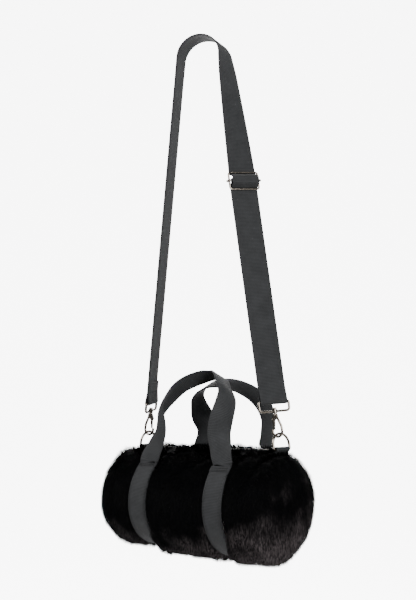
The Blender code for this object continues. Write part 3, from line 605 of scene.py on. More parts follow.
# %% Webbing through the adjuster
ADJ_WIRE, ADJ_HALF_HEIGHT, ADJ_CORNER = 0.00125, 0.011, 0.003
adj_plane = layer + STRAP_THICK / 2 + GAP + ADJ_WIRE
mid_bar = adj_plane + 2 * ADJ_WIRE + GAP
end_line = ADJ_WIRE + GAP + STRAP_THICK / 2
bridge_front = mid_bar + end_line + STRAP_THICK + GAP
tight = STRAP_THICK * 1.6
bulge = rounded(
    [(layer, BRIDGE_REACH), (layer, 0.0095), (bridge_front, 0.0045), (bridge_front, -0.0045),
     (layer, -0.0095), (layer, -BRIDGE_REACH)],
    [tight] * 6,
)
sewn_end = rounded(
    [(-layer, -BRIDGE_REACH), (-layer, -0.0095), (mid_bar - end_line, -0.0025)], [tight] * 3
)
sewn_end += arc((mid_bar, 0), end_line, math.pi, 0, 14) + [(mid_bar + end_line, -0.0025)]
along_bar = adjuster_place.to_3x3() @ Vector((1, 0, 0))
for name, line, node in (
    ("adjuster_webbing", bulge, "strap_bridge"),
    ("adjuster_sewn_end", sewn_end, "strap_end_loop"),
):
    path = side_path(adjuster_place, line)
    web = sweep(name, path, along_bar, STRAP_SECTION, POLYESTER_WEBBING)
    finish_piece(web, "adjuster", "webbing", node)

# %% Adjuster frame and middle bar
adj_half = STRAP_WIDTH / 2 + SIDE_PLAY + ADJ_WIRE
corners = [(-adj_half, -ADJ_HALF_HEIGHT), (adj_half, -ADJ_HALF_HEIGHT),
           (adj_half, ADJ_HALF_HEIGHT), (-adj_half, ADJ_HALF_HEIGHT)]
frame_line = rounded(corners, [ADJ_CORNER] * 4, closed=True)
wire_place = adjuster_place @ Matrix.Translation((0, adj_plane, 0))
adjuster_wire = wire("adjuster_wire_frame", wire_place, frame_line, ADJ_WIRE, GUNMETAL_PLATE)
finish_piece(adjuster_wire, "adjuster", "gunmetal", "adjuster_frame")
curl = arc((adj_half, adj_plane), 2 * ADJ_WIRE + GAP, QUARTER, -QUARTER, 14)
bar_line = [(-x, y) for x, y in reversed(curl)] + curl
path = [adjuster_place @ Vector((x, y, 0)) for x, y in bar_line]
up_leg = adjuster_place.to_3x3() @ Vector((0, 0, 1))
adjuster_bar = sweep(
    "adjuster_centre_bar", path, up_leg, round_section(ADJ_WIRE), GUNMETAL_PLATE
)
finish_piece(adjuster_bar, "adjuster", "gunmetal", "adjuster_bar")

# %% [markdown]
# ## The doubled strap
#
# Below the adjuster the strap is double: one layer comes back up from the right hook's eye and
# is the one that slides. Both layers are swept a little apart, from the adjuster down to the
# hook.

# %% Doubled strap and its loop round the right eye
right = leg_frame["right"]
across_right = right.to_3x3() @ Vector((1, 0, 0))
for name, offset, node in (
    ("strap_front_layer", layer, "strap_double_front"),
    ("strap_back_layer", -layer, "strap_double_back"),
):
    high = right @ Vector((0, offset, ADJUSTER_UP - BRIDGE_REACH))
    low = right @ Vector((0, offset, LOOP_TAIL))
    path = [high.lerp(low, k / 24) for k in range(25)]
    web = sweep(name, path, across_right, STRAP_SECTION, POLYESTER_WEBBING)
    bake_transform(web)
    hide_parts(node)

loop = [(-layer, LOOP_TAIL), (-layer, 0.02)]
loop += arc((0, 0), wrap_line, math.pi, 2 * math.pi, 14)
loop += [(layer, 0.02), (layer, LOOP_TAIL)]
hook_loop = sweep(
    "strap_hook_loop_web", side_path(right, loop), across_right, STRAP_SECTION, POLYESTER_WEBBING
)
finish_piece(hook_loop, "strap", "webbing", "strap_hook_loop")

# %% [markdown]
# ## Swivel snap hooks
#
# Each hook hangs from a rectangular eye on a riveted post, so that it can swivel. The hook
# itself is one bent wire that grows out of a slim cast neck. The neck's two cheeks hold a sprung
# gate, which closes the hook. The parts of one casting are kept in one piece.

# %% Small solids for the castings
HOOK_WIRE, HOOK_BEND, EYE_HEIGHT = 0.0016, 0.007, 0.012
BOSS_RADIUS, BOSS_HALF, POST_RADIUS = 0.0032, 0.0028, 0.0013
NECK_TOP, CHEEK_LOW, CHEEK_IN, CHEEK_OUT = 0.0285, 0.0200, 0.0013, 0.0026
COLLAR_RADIUS, HEAD_RADIUS, HEAD_THICK, SUNK = 0.0028, 0.0026, 0.0014, 0.0005
GATE_IN, GATE_UP, RIVET_RADIUS, RIVET_PROUD = 0.0037, 0.0228, 0.0009, 0.0003
SOFT_EDGE = 0.0004


def add_plate(shape, place, outline, low_y, high_y, edge):
    """A flat plate between two y levels of a local frame, its outline given as (x, z) pairs."""
    rows = []
    for y in (low_y, high_y):
        rows.append([shape.verts.new(place @ Vector((x, y, z))) for x, z in outline])
    faces = [shape.faces.new(rows[0]), shape.faces.new(rows[1][::-1])]
    for k in range(len(outline)):
        n = (k + 1) % len(outline)
        faces.append(shape.faces.new((rows[0][k], rows[1][k], rows[1][n], rows[0][n])))
    edges = list({e for f in faces for e in f.edges})
    bmesh.ops.bevel(shape, geom=edges, offset=edge, segments=2, affect="EDGES", profile=0.5)


def add_block(shape, place, low, high, edge):
    """A box with softened edges, between two corners of a local frame."""
    low, high = Vector(low), Vector(high)
    made = bmesh.ops.create_cube(shape, size=1.0)["verts"]
    for vert in made:
        spot = (low + high) / 2 + Vector(c * (b - a) for c, a, b in zip(vert.co, low, high))
        vert.co = place @ spot
    edges = list({e for v in made for e in v.link_edges})
    bmesh.ops.bevel(shape, geom=edges, offset=edge, segments=2, affect="EDGES", profile=0.5)


def add_rod(shape, place, radius, low, high, sides=24):
    """A round bar along the local z axis, with softened ends."""
    soft = min(radius, (high - low) / 2) * 0.25
    narrow = radius - soft
    rings = []
    for r, z in ((narrow, low), (radius, low + soft), (radius, high - soft), (narrow, high)):
        spots = [place @ Vector((x, y, z)) for x, y in round_section(r, sides)]
        rings.append([shape.verts.new(spot) for spot in spots])
    for ring, following in zip(rings, rings[1:]):
        for k in range(sides):
            n = (k + 1) % sides
            shape.faces.new((ring[k], ring[n], following[n], following[k]))
    shape.faces.new(rings[0])
    shape.faces.new(rings[-1])


def bar_section(a, b, flat_a, flat_b):
    """The outline of a flat bar with its four corners cut off."""
    quarter = [(a, b * flat_b), (a * flat_a, b)]
    upper = quarter + [(-x, y) for x, y in reversed(quarter)]
    return upper + [(x, -y) for x, y in reversed(upper)]


# %% The eye that the strap is sewn round
eye_half = STRAP_WIDTH / 2 + SIDE_PLAY + EYE_WIRE
corners = [(-eye_half, -EYE_HEIGHT), (eye_half, -EYE_HEIGHT), (eye_half, 0), (-eye_half, 0)]
eye_line = rounded(corners, [0.004, 0.004, 0.0019, 0.0019], closed=True)


def make_eye(side):
    """A rectangular eye with the round boss that the hook's post turns in."""
    place = leg_frame[side]
    shape = bmesh.new()
    bend_into(shape, place, eye_line, round_section(EYE_WIRE), closed=True)
    boss_place = place @ Matrix.Translation((0, 0, -EYE_HEIGHT))
    add_rod(shape, boss_place, BOSS_RADIUS, -BOSS_HALF, BOSS_HALF)
    eye = make_piece("strap_eye_" + side, shape, GUNMETAL_PLATE)
    finish_piece(eye, "strap", "gunmetal", "hook_eye_" + side)


# %% The hook
CHEEK = ((-0.0020, NECK_TOP), (0.0020, NECK_TOP), (0.0026, 0.0240),
         (-0.0022, CHEEK_LOW + 0.0012), (-0.0040, CHEEK_LOW), (-0.0053, CHEEK_LOW + 0.0018))
spine = [(0.0007, NECK_TOP - 0.0006), (0.0030, 0.0222), (HOOK_BEND - 0.0004, 0.0130)]
spine += arc((0, HOOK_BEND), HOOK_BEND, 0, -math.pi, 24)
spine += [(-HOOK_BEND, HOOK_BEND + 0.0026)]
collar_top = EYE_UP - EYE_HEIGHT - BOSS_HALF - GAP
head_low = EYE_UP - EYE_HEIGHT + BOSS_HALF + GAP


def make_hook(side):
    """A bent wire under two cheeks and a collar, and the riveted post above them."""
    place = hook_frame[side]
    shape = bmesh.new()
    bend_into(shape, place, spine, round_section(HOOK_WIRE))
    for low_y, high_y in ((-CHEEK_OUT, -CHEEK_IN), (CHEEK_IN, CHEEK_OUT)):
        add_plate(shape, place, CHEEK, low_y, high_y, SOFT_EDGE)
    add_rod(shape, place, COLLAR_RADIUS, NECK_TOP - 0.0008, collar_top)
    add_rod(shape, place, POST_RADIUS, collar_top - SUNK, head_low + SUNK, 16)
    add_rod(shape, place, HEAD_RADIUS, head_low, head_low + HEAD_THICK)
    hook = make_piece("snap_hook_" + side, shape, GUNMETAL_PLATE)
    finish_piece(hook, "hook_" + side, "gunmetal", "hook_body_" + side)


# %% The gate and its rivet
gate_line = [(-GATE_IN, GATE_UP + 0.0002), (-GATE_IN - 0.0002, GATE_UP - 0.004),
             (-HOOK_BEND + HOOK_WIRE + GAP + 0.0008, 0.0094)]


def make_gate(side):
    """A flat lever that swings on a rivet between the cheeks, with its tip inside the hook."""
    place = hook_frame[side]
    pin_place = place @ Matrix.Translation((-GATE_IN, 0, GATE_UP))
    pin_place = pin_place @ Matrix.Rotation(QUARTER, 4, "X")
    shape = bmesh.new()
    pin_end = CHEEK_OUT + RIVET_PROUD
    add_rod(shape, pin_place, RIVET_RADIUS, -pin_end, pin_end, 16)
    pin = make_piece("gate_rivet_" + side, shape, GUNMETAL_PLATE)
    finish_piece(pin, "hook_" + side, "gunmetal", "hook_gate_pin_" + side)
    shape = bmesh.new()
    bend_into(shape, place, gate_line, bar_section(0.0010, 0.0013, 0.6, 0.6))
    gate = make_piece("gate_lever_" + side, shape, GUNMETAL_PLATE)
    finish_piece(gate, "gate_" + side, "gunmetal", "hook_gate_" + side)


# %% Both hooks
for side in bend:
    make_eye(side)
    make_hook(side)
    make_gate(side)

# %% [markdown]
# ## D-rings and their tabs
#
# A closed D of the same wire sits in a tab of webbing, sewn into the seam where the tube meets
# the rounded end. The right one is turned a little, as its strap pulls it round.

# %% D-rings and tabs
RING_WIRE, RING_HEIGHT, RING_INSIDE, RING_PLAY = 0.0016, 0.020, 0.025, 0.0008
TAB_WIDTH, TAB_THICK, TAB_TAIL = 0.023, 0.0015, 0.005
TAB_YAW, TAB_ASIDE = {"left": 0.0, "right": math.radians(9)}, {"left": 0.0, "right": 0.003}
tab_radius = RING_WIRE + GAP + TAB_THICK / 2
seam_x = BARREL_HALF + GAP / 2
TAB_SECTION = tape_section(TAB_WIDTH, TAB_THICK)
for side in bend:
    lean_up = Vector((leg_up[side].x, 0, leg_up[side].z)).normalized()
    turned = Matrix.Rotation(-TAB_YAW[side], 4, "Z")
    shift = turned @ Vector((0, TAB_ASIDE[side], 0))
    bar = bend[side] + lean_up * (HOOK_WIRE + RING_WIRE + RING_PLAY - RING_HEIGHT) + shift
    half = RING_INSIDE / 2 + RING_WIRE
    corners = [(-half, half), (-half, 0), (half, 0), (half, half)]
    ring_line = rounded(corners, [0, 0.002, 0.002, 0])[1:-1]
    ring_line += arc((0, RING_HEIGHT - half), half, 0, math.pi, 24)
    ring_place = local_frame(bar, lean_up, turned @ Vector((1, 0, 0)))
    ring = wire("d_ring_wire_" + side, ring_place, ring_line, RING_WIRE, GUNMETAL_PLATE)
    finish_piece(ring, "ring_" + side, "gunmetal", "d_ring_" + side)
    seam = Vector((outward[side].x * seam_x, HOOK_BACK, 0)) + shift
    seam_top = bar.z - tab_radius - TAB_THICK / 2 - GAP
    pair = (TAB_THICK + GAP) / 2
    tail = [(-pair, seam_top - TAB_TAIL), (-pair, seam_top)]
    path = [seam + turned @ Vector((d, 0, s)) for d, s in tail]
    turned_arc = arc((0, 0), tab_radius, math.radians(215), math.radians(-35), 18)
    path += [bar + turned @ Vector((d, 0, s)) for d, s in turned_arc]
    path += [seam + turned @ Vector((-d, 0, s)) for d, s in reversed(tail)]
    across = turned @ Vector((0, 1, 0))
    tab = sweep("ring_tab_" + side, path, across, TAB_SECTION, POLYESTER_WEBBING)
    finish_piece(tab, "bag", "webbing", "tab_" + side)

# %% [markdown]
# ## The skin under the fur
#
# Faux fur is a pile of acrylic fibres knitted into a black ground cloth. The ground is made
# first, as one lofted skin: rings of points along the bag whose radius falls off at the rounded
# ends, is nipped a little at the end seams, and dips under the zip. Soft dents come from a slow
# noise. Each point also keeps a share of how much pile grows there, which is nothing under the
# bands, the zip and the tabs.

# %% Fur ground
SKIN_RADIUS = 0.0672
SKIN_END, ROUNDNESS = {-1: 0.0305, 1: 0.0260}, {-1: 0.68, 1: 0.76}
PINCH_DEPTH, PINCH_EDGE, TOP_PUFF = 0.0024, 0.004, 0.0016
BAND_SINK, BAND_PUFF, PUFF_AWAY, PUFF_WIDE, LEFT_SLANT = 0.0032, 0.0022, 0.009, 0.006, 0.0055
SKIN_SIDES, END_STEPS, TUBE_STEPS = 132, 18, 84
STITCH_TURN = math.radians(45)
TAPE_HALF, ZIP_HALF, TAPE_PAST, BARE_EDGE = 0.0135, 0.095, 0.004, 0.0035
OVERGROWN = {"left": 0.009, "right": 0.018}
SEAM_NIP, SEAM_EDGE, TAPE_SUNK = 0.0016, 0.004, 0.003
DENTS = ((22, 0.0016), (60, 0.0005))  # one over a dent's size, and its depth

# How much further out the belly's underside is than the round tube, from left to right
BELLY = ((-0.14, 0.0), (-0.12, 0.0), (-0.095, -0.0035), (-0.066, 0.0), (-0.045, 0.0018),
         (0.04, -0.0006), (0.06, 0.0), (0.085, 0.0004), (0.105, -0.0026), (0.14, -0.005))


def skin_profile():
    """Pairs of place along X and radius, from one pole to the other."""
    tube = [(BARREL_HALF * (2 * k / TUBE_STEPS - 1), SKIN_RADIUS) for k in range(TUBE_STEPS + 1)]
    cap = {-1: [], 1: []}
    for k in range(1, END_STEPS):
        t = QUARTER * k / END_STEPS
        for sign in cap:
            reach = BARREL_HALF + SKIN_END[sign] * math.sin(t) ** ROUNDNESS[sign]
            cap[sign].append((sign * reach, SKIN_RADIUS * math.cos(t) ** ROUNDNESS[sign]))
    return cap[-1][::-1] + tube + cap[1]


# %% Where the bands lie and how the belly sags
def ease(share):
    """A share between 0 and 1, with a soft start and a soft end."""
    return share * share * (3 - 2 * share)


def low_share(turn):
    """How far round to the underside a turn is: 0 down to the stitching, 1 at the bottom."""
    past = abs(math.atan2(math.sin(turn), math.cos(turn))) - STITCH_TURN
    return ease(max(past / (math.pi - STITCH_TURN), 0.0))


def band_place(side, turn):
    """A band's middle along X: the left band slants outwards under the belly."""
    slant = LEFT_SLANT * low_share(turn) if side == "left" else 0.0
    return outward[side].x * BAND_X - slant


def beside_band(x, turn):
    """How far a place is from the part of its band that shows; fur hides one edge below."""
    side = "left" if x < 0 else "right"
    aside = x - band_place(side, turn)
    cover = OVERGROWN[side] * ease(max(2 * low_share(turn) - 1, 0))
    return max(-BAND_WIDTH / 2 - aside, aside - BAND_WIDTH / 2 + cover, 0)


def belly(x):
    """The belly's extra reach at a place along the bag."""
    for (a, low), (b, high) in zip(BELLY, BELLY[1:]):
        if a <= x <= b:
            return low + (high - low) * (x - a) / (b - a)
    return 0.0


# %% One point of the skin, and where pile grows
def skin_spot(x, radius, turn):
    """One point of the skin, dented and settled."""
    nip = SEAM_NIP * math.exp(-(((abs(x) - BARREL_HALF) / SEAM_EDGE) ** 2))
    beside = beside_band(x, turn)
    low = low_share(turn)
    nip += (PINCH_DEPTH + BAND_SINK * low) * math.exp(-((beside / PINCH_EDGE) ** 2))
    nip -= low * (belly(x) + BAND_PUFF * math.exp(-(((beside - PUFF_AWAY) / PUFF_WIDE) ** 2)))
    flat = Vector((x, radius * math.sin(turn), radius * math.cos(turn)))
    dent = sum(noise.noise(flat * often) * deep for often, deep in DENTS)
    dent += TOP_PUFF * max(math.cos(turn), 0) ** 6
    under_tape = abs(flat.y) < TAPE_HALF and flat.z > 0 and abs(x) < ZIP_HALF + TAPE_PAST
    reach = radius - nip * min(radius / SKIN_RADIUS, 1) + dent - (TAPE_SUNK if under_tape else 0)
    spot = Vector((x, reach * math.sin(turn), BARREL_Z + reach * math.cos(turn)))
    return settle(spot)


def pile_share(x, turn):
    """How much pile grows at a place: none under webbing, zip or tab."""
    y = SKIN_RADIUS * math.sin(turn)
    high = math.cos(turn) > 0
    if high and abs(y) < TAPE_HALF - BARE_EDGE and abs(x) < ZIP_HALF:
        return 0.0
    if high and abs(y - HOOK_BACK) < TAB_WIDTH / 2 and abs(abs(x) - BARREL_HALF) < BARE_EDGE:
        return 0.0
    below = abs(math.atan2(math.sin(turn), math.cos(turn))) > STITCH_TURN
    if below and beside_band(x, turn) == 0:
        return 0.0
    return 1.0


# %% Loft the skin
skin = bmesh.new()
rings = []
shares = []
turns = [2 * math.pi * k / SKIN_SIDES for k in range(SKIN_SIDES)]
for x, radius in skin_profile():
    rings.append([skin.verts.new(skin_spot(x, radius, t)) for t in turns])
    shares += [pile_share(x, t) for t in turns]
for ring, following in zip(rings, rings[1:]):
    for k in range(SKIN_SIDES):
        n = (k + 1) % SKIN_SIDES
        skin.faces.new((ring[k], ring[n], following[n], following[k]))
for ring, sign in ((rings[0], -1), (rings[-1], 1)):
    pole = skin.verts.new(skin_spot(sign * (BARREL_HALF + SKIN_END[sign]), 0.0, 0.0))
    shares.append(1.0)
    for k in range(SKIN_SIDES):
        skin.faces.new((ring[k], ring[(k + 1) % SKIN_SIDES], pole))
ground = make_piece("fur_ground", skin, FUR_GROUND, math.pi)
grow = ground.data.attributes.new("pile", "FLOAT", "POINT")
grow.data.foreach_set("value", shares)
finish_piece(ground, "bag", "faux_fur", "fur_barrel", "end_cap_left", "end_cap_right")

# %% [markdown]
# ## The pile
#
# The pile is what repeats most, so Geometry Nodes grow it: points are scattered over the skin,
# a small blade stands on each, and all lean down the bag in loose locks. A noise turns
# neighbours together, which makes the locks, and a random jitter frees single hairs. Real
# fibres are 0.05 mm thick, far finer than a pixel, so each blade here stands for a few fibres
# and is 0.5 mm wide. The pile is grown in twelve parts, so that no piece is too large.

# %% Pile material
# One over the size of a lock (11 mm), a hair (1.6 mm) and a patch that catches light (29 mm)
LOCKS, HAIRS, PATCHES = 90.0, 620.0, 34.0
ACRYLIC_PILE, pile_tree, pile_shader = new_finish(
    "black_acrylic_pile", Metallic=0.0, IOR=1.45, Specular_IOR_Level=0.05
)
pile_place = add_node(pile_tree, "ShaderNodeTexCoord")
pile_axes = add_node(pile_tree, "ShaderNodeSeparateXYZ", {"Vector": pile_place.outputs["Object"]})
locks = add_node(
    pile_tree, "ShaderNodeTexNoise",
    {"Vector": pile_place.outputs["Object"], "Scale": LOCKS, "Detail": 3.0},
)

# %% Fine hairs and soft patches
hair_axes = add_node(
    pile_tree, "ShaderNodeVectorMath", {0: pile_place.outputs["Object"], 1: (1.0, 1.0, 0.22)},
    operation="MULTIPLY",
)
hairs = add_node(
    pile_tree, "ShaderNodeTexNoise",
    {"Vector": hair_axes.outputs[0], "Scale": HAIRS, "Detail": 2.0},
)
patches = add_node(
    pile_tree, "ShaderNodeTexNoise",
    {"Vector": pile_place.outputs["Object"], "Scale": PATCHES, "Detail": 2.0},
)

# %% Painted sheen: lighter pile under the belly and at the right end
# Painted sheen: the pile's colour turns light brownish grey below the bag's axis and towards its
# right end, where light glances off the leaning hairs.
below_axis = add_node(
    pile_tree, "ShaderNodeMapRange",
    {"Value": pile_axes.outputs["Z"], "From Min": BARREL_Z, "From Max": BARREL_Z - BARREL_RADIUS},
)
rightward = add_node(
    pile_tree, "ShaderNodeMapRange",
    {"Value": pile_axes.outputs["X"], "From Min": 0.06, "From Max": 0.13, "To Max": 0.42},
)
sheen_reach = add_node(
    pile_tree, "ShaderNodeMath", {0: below_axis.outputs[0], 1: rightward.outputs[0]},
    operation="ADD",
)
mottled_sheen_reach = add_node(
    pile_tree, "ShaderNodeMath",
    {0: patches.outputs["Fac"], 1: 1.2, 2: sheen_reach.outputs[0]}, operation="MULTIPLY_ADD",
)
painted_sheen_share = add_node(
    pile_tree, "ShaderNodeMapRange",
    {"Value": mottled_sheen_reach.outputs[0], "From Min": 0.98, "From Max": 1.8},
    interpolation_type="SMOOTHSTEP",
)
hair_share = add_node(
    pile_tree, "ShaderNodeMapRange",
    {"Value": hairs.outputs["Fac"], "From Min": 0.42, "From Max": 0.66, "To Min": 0.08},
)
lit_share = add_node(
    pile_tree, "ShaderNodeMath", {0: painted_sheen_share.outputs[0], 1: hair_share.outputs[0]},
    operation="MULTIPLY",
)

# %% Colour and roughness of the pile
dark_tone = add_node(
    pile_tree, "ShaderNodeMix",
    {"Factor": locks.outputs["Fac"], 6: linear("#020202"), 7: linear("#08080a")},
    data_type="RGBA",
)
# The light brownish grey #686162 is painted sheen, not the fibres' own colour.
pile_colour = add_node(
    pile_tree, "ShaderNodeMix",
    {"Factor": lit_share.outputs[0], 6: dark_tone.outputs[2], 7: linear("#686162")},
    data_type="RGBA",
)
pile_rough = add_node(
    pile_tree, "ShaderNodeMapRange",
    {"Value": locks.outputs["Fac"], "To Min": 0.6, "To Max": 0.8},
)
pile_tree.links.new(pile_colour.outputs[2], pile_shader.inputs["Base Color"])
pile_tree.links.new(pile_rough.outputs[0], pile_shader.inputs["Roughness"])

# %% One blade of pile
BLADE_WIDTH, BLADE_DROOP = 0.0005, 0.28


def make_blade():
    """A tapering blade one metre tall, so that its scale is its length; it bows towards -Y."""
    shape = bmesh.new()
    rows = []
    for share, wide in ((0.0, 1.0), (0.55, 0.8)):
        bow = -BLADE_DROOP * share * share
        rows.append([shape.verts.new((side * wide / 2, bow, share)) for side in (-1, 1)])
    tip = shape.verts.new((0, -BLADE_DROOP, 1.0))
    for low, high in zip(rows, rows[1:]):
        shape.faces.new((low[1], low[0], high[0], high[1]))
    shape.faces.new((rows[-1][1], rows[-1][0], tip))
    mesh = bpy.data.meshes.new("pile_blade")
    shape.to_mesh(mesh)
    shape.free()
    mesh.shade_smooth()
    made = bpy.data.objects.new("pile_blade", mesh)
    bpy.context.scene.collection.objects.link(made)
    return made


blade = make_blade()
print("one blade has", len(blade.data.polygons), "faces")


# %% An empty geometry tree with named inputs
def new_tree(name, sockets):
    """A geometry tree with named inputs; returns it and the sockets that hold its inputs."""
    tree = bpy.data.node_groups.new(name, "GeometryNodeTree")
    tree.interface.new_socket("Geometry", in_out="INPUT", socket_type="NodeSocketGeometry")
    tree.interface.new_socket("Geometry", in_out="OUTPUT", socket_type="NodeSocketGeometry")
    for label, kind in sockets:
        tree.interface.new_socket(label, in_out="INPUT", socket_type="NodeSocket" + kind)
    given = tree.nodes.new("NodeGroupInput")
    return tree, given.outputs


def end_tree(tree, given, instances):
    """Make a tree's instances real, give them their material, and hand them out."""
    real = add_node(tree, "GeometryNodeRealizeInstances", {"Geometry": instances.outputs[0]})
    dyed = add_node(
        tree, "GeometryNodeSetMaterial",
        {"Geometry": real.outputs[0], "Material": given["Material"]},
    )
    add_node(tree, "NodeGroupOutput", {0: dyed.outputs[0]})
    return tree


# %% The tree that grows the pile
STRAY, SWIRL, SHORTEST, LONGEST = 0.22, (2.4, 2.4, 1.4), 0.65, 1.15


def make_pile_tree():
    """Scatter blades over a skin and comb them down the bag in locks."""
    tree, given = new_tree("grow_pile", (
        ("Density", "Float"), ("Length", "Float"), ("Width", "Float"), ("Lean", "Float"),
        ("Lock Scale", "Float"), ("Seed", "Int"), ("Blade", "Object"), ("Material", "Material"),
    ))
    share = add_node(tree, "GeometryNodeInputNamedAttribute", {"Name": "pile"}, data_type="FLOAT")
    dense = add_node(
        tree, "ShaderNodeMath", {0: share.outputs["Attribute"], 1: given["Density"]},
        operation="MULTIPLY",
    )
    scatter = add_node(
        tree, "GeometryNodeDistributePointsOnFaces",
        {"Mesh": given["Geometry"], "Density": dense.outputs[0], "Seed": given["Seed"]},
        distribute_method="RANDOM", use_legacy_normal=False,
    )
    normal = scatter.outputs["Normal"]
    place = add_node(tree, "GeometryNodeInputPosition")
    wave = add_node(
        tree, "ShaderNodeTexNoise",
        {"Vector": place.outputs[0], "Scale": given["Lock Scale"], "Detail": 2.0},
    )
    swirl = add_node(
        tree, "ShaderNodeVectorMath", {0: wave.outputs["Color"], 1: (0.5, 0.5, 0.5)},
        operation="SUBTRACT",
    )
    stray = add_node(
        tree, "FunctionNodeRandomValue",
        {0: (-STRAY,) * 3, 1: (STRAY,) * 3, "Seed": given["Seed"]}, data_type="FLOAT_VECTOR",
    )
    swirled = add_node(
        tree, "ShaderNodeVectorMath",
        {0: swirl.outputs[0], 1: SWIRL, 2: stray.outputs[0]}, operation="MULTIPLY_ADD",
    )
    combed = add_node(
        tree, "ShaderNodeVectorMath", {0: swirled.outputs[0], 1: (0.0, 0.0, -1.0)}, operation="ADD"
    )
    rise = add_node(
        tree, "ShaderNodeVectorMath", {0: combed.outputs[0], 1: normal}, operation="DOT_PRODUCT"
    )
    up_part = add_node(
        tree, "ShaderNodeVectorMath", {0: normal, "Scale": rise.outputs["Value"]},
        operation="SCALE",
    )
    lying = add_node(
        tree, "ShaderNodeVectorMath", {0: combed.outputs[0], 1: up_part.outputs[0]},
        operation="SUBTRACT",
    )
    leaned = add_node(
        tree, "ShaderNodeVectorMath", {0: lying.outputs[0], "Scale": given["Lean"]},
        operation="SCALE",
    )
    heading = add_node(
        tree, "ShaderNodeVectorMath", {0: normal, 1: leaned.outputs[0]}, operation="ADD"
    )
    stand = add_node(
        tree, "FunctionNodeAlignRotationToVector", {"Vector": heading.outputs[0]}, axis="Z"
    )
    faced = add_node(
        tree, "FunctionNodeAlignRotationToVector",
        {"Rotation": stand.outputs[0], "Vector": normal}, axis="Y", pivot_axis="Z",
    )
    long = add_node(
        tree, "FunctionNodeRandomValue", {2: SHORTEST, 3: LONGEST, "Seed": given["Seed"]},
        data_type="FLOAT",
    )
    tall = add_node(
        tree, "ShaderNodeMath", {0: long.outputs[1], 1: given["Length"]}, operation="MULTIPLY"
    )
    size = add_node(
        tree, "ShaderNodeCombineXYZ",
        {"X": given["Width"], "Y": tall.outputs[0], "Z": tall.outputs[0]},
    )
    shown = add_node(tree, "GeometryNodeObjectInfo", {"Object": given["Blade"]})
    grown = add_node(
        tree, "GeometryNodeInstanceOnPoints",
        {"Points": scatter.outputs["Points"], "Instance": shown.outputs["Geometry"],
         "Rotation": faced.outputs[0], "Scale": size.outputs[0]},
    )
    return end_tree(tree, given, grown)


# %% Running a tree and keeping its plain mesh
def grown_mesh(name, start_mesh, tree, values):
    """Run a tree over a mesh with the given inputs and return the plain mesh that it makes."""
    holder = bpy.data.objects.new(name, start_mesh)
    bpy.context.scene.collection.objects.link(holder)
    step = holder.modifiers.new("grow", "NODES")
    step.node_group = tree
    for item in tree.interface.items_tree:
        if item.in_out == "INPUT" and item.name in values:
            step[item.identifier] = values[item.name]
    graph = bpy.context.evaluated_depsgraph_get()
    mesh = bpy.data.meshes.new_from_object(holder.evaluated_get(graph))
    holder.modifiers.clear()
    holder.data = mesh
    mesh.name = name
    return holder


# %% Grow the pile in twelve parts
PILE_DENSITY = 1.35e6
PILE_LENGTH, PILE_LEAN, LOCK_SCALE, FIRST_SEED = 0.0088, 1.5, 70.0, 3
ZONES = (
    ("left_end", -1.0, -BARREL_HALF), ("left", -BARREL_HALF, -BAND_X), ("mid_left", -BAND_X, 0.0),
    ("mid_right", 0.0, BAND_X), ("right", BAND_X, BARREL_HALF), ("right_end", BARREL_HALF, 1.0),
)
PARTS = [(zone, half) for zone in ZONES for half in ("front", "rear")]
pile_tree_group = make_pile_tree()
for seed, ((zone, low_x, high_x), half) in enumerate(PARTS):
    name = "pile_" + zone + "_" + half
    part = bmesh.new()
    part.from_mesh(ground.data)
    away = []
    for face in part.faces:
        centre = face.calc_center_median()
        if not (low_x <= centre.x < high_x and (centre.y < 0) == (half == "front")):
            away.append(face)
    bmesh.ops.delete(part, geom=away, context="FACES")
    bed = bpy.data.meshes.new(name + "_bed")
    part.to_mesh(bed)
    part.free()
    pile = grown_mesh(name, bed, pile_tree_group, {
        "Density": PILE_DENSITY, "Length": PILE_LENGTH, "Width": BLADE_WIDTH,
        "Lean": PILE_LEAN, "Lock Scale": LOCK_SCALE, "Seed": seed + FIRST_SEED,
        "Blade": blade, "Material": ACRYLIC_PILE,
    })
    finish_piece(pile, "bag", "faux_fur")
bpy.data.objects.remove(blade, do_unlink=True)

# %% [markdown]
# ## Bands and handles
#
# Two bands of 30 mm webbing wrap the belly. They are sewn on below a cross seam at the front
# and back, and above it the same webbing runs free as a carrying handle. Each handle's legs
# turn as they rise, so that the tape stands edge-on at the top. The paths were read off the
# photograph: the share of the height, how far the legs are apart, how far they lean, and how
# far a leg strays from the middle of its band.

# %% Bands
TAPE_BOW, BAND_STEPS = 0.0003, 72
TAPE_SECTION = tape_section(BAND_WIDTH, BAND_THICK, TAPE_BOW)
band_line = CINCH_RADIUS + GAP + BAND_THICK / 2
across_x = Vector((1, 0, 0))


def band_spot(side, turn, above=0.0, aside=0.0):
    """A place on a band, a little above its middle plane and aside of its middle line."""
    reach = band_line + above - BAND_SINK * low_share(turn)
    x = band_place(side, turn) + aside
    return Vector((x, -reach * math.sin(turn), BARREL_Z + reach * math.cos(turn)))


round_belly = 2 * (math.pi - STITCH_TURN)
band_turns = [STITCH_TURN + round_belly * k / BAND_STEPS for k in range(BAND_STEPS + 1)]
for side in bend:
    path = [band_spot(side, turn) for turn in band_turns]
    band = sweep(
        "belly_band_" + side, path, across_x, TAPE_SECTION, POLYESTER_WEBBING, form=settle
    )
    finish_piece(band, "bag", "webbing", "band_" + side)

# %% Tongue
# The right front leg ends in a tongue that lies on its band, so its seam is lower
TONGUE, TONGUE_THICK = 0.0085, 0.0008
tongue_turns = [STITCH_TURN + TONGUE / band_line * k / 8 for k in range(1, 9)]
path = [band_spot("right", turn, (BAND_THICK + TONGUE_THICK) / 2) for turn in tongue_turns]
tongue_section = tape_section(BAND_WIDTH, TONGUE_THICK, TAPE_BOW)
tongue = sweep("handle_tongue", path, across_x, tongue_section, POLYESTER_WEBBING, form=settle)
finish_piece(tongue, "bag", "webbing")

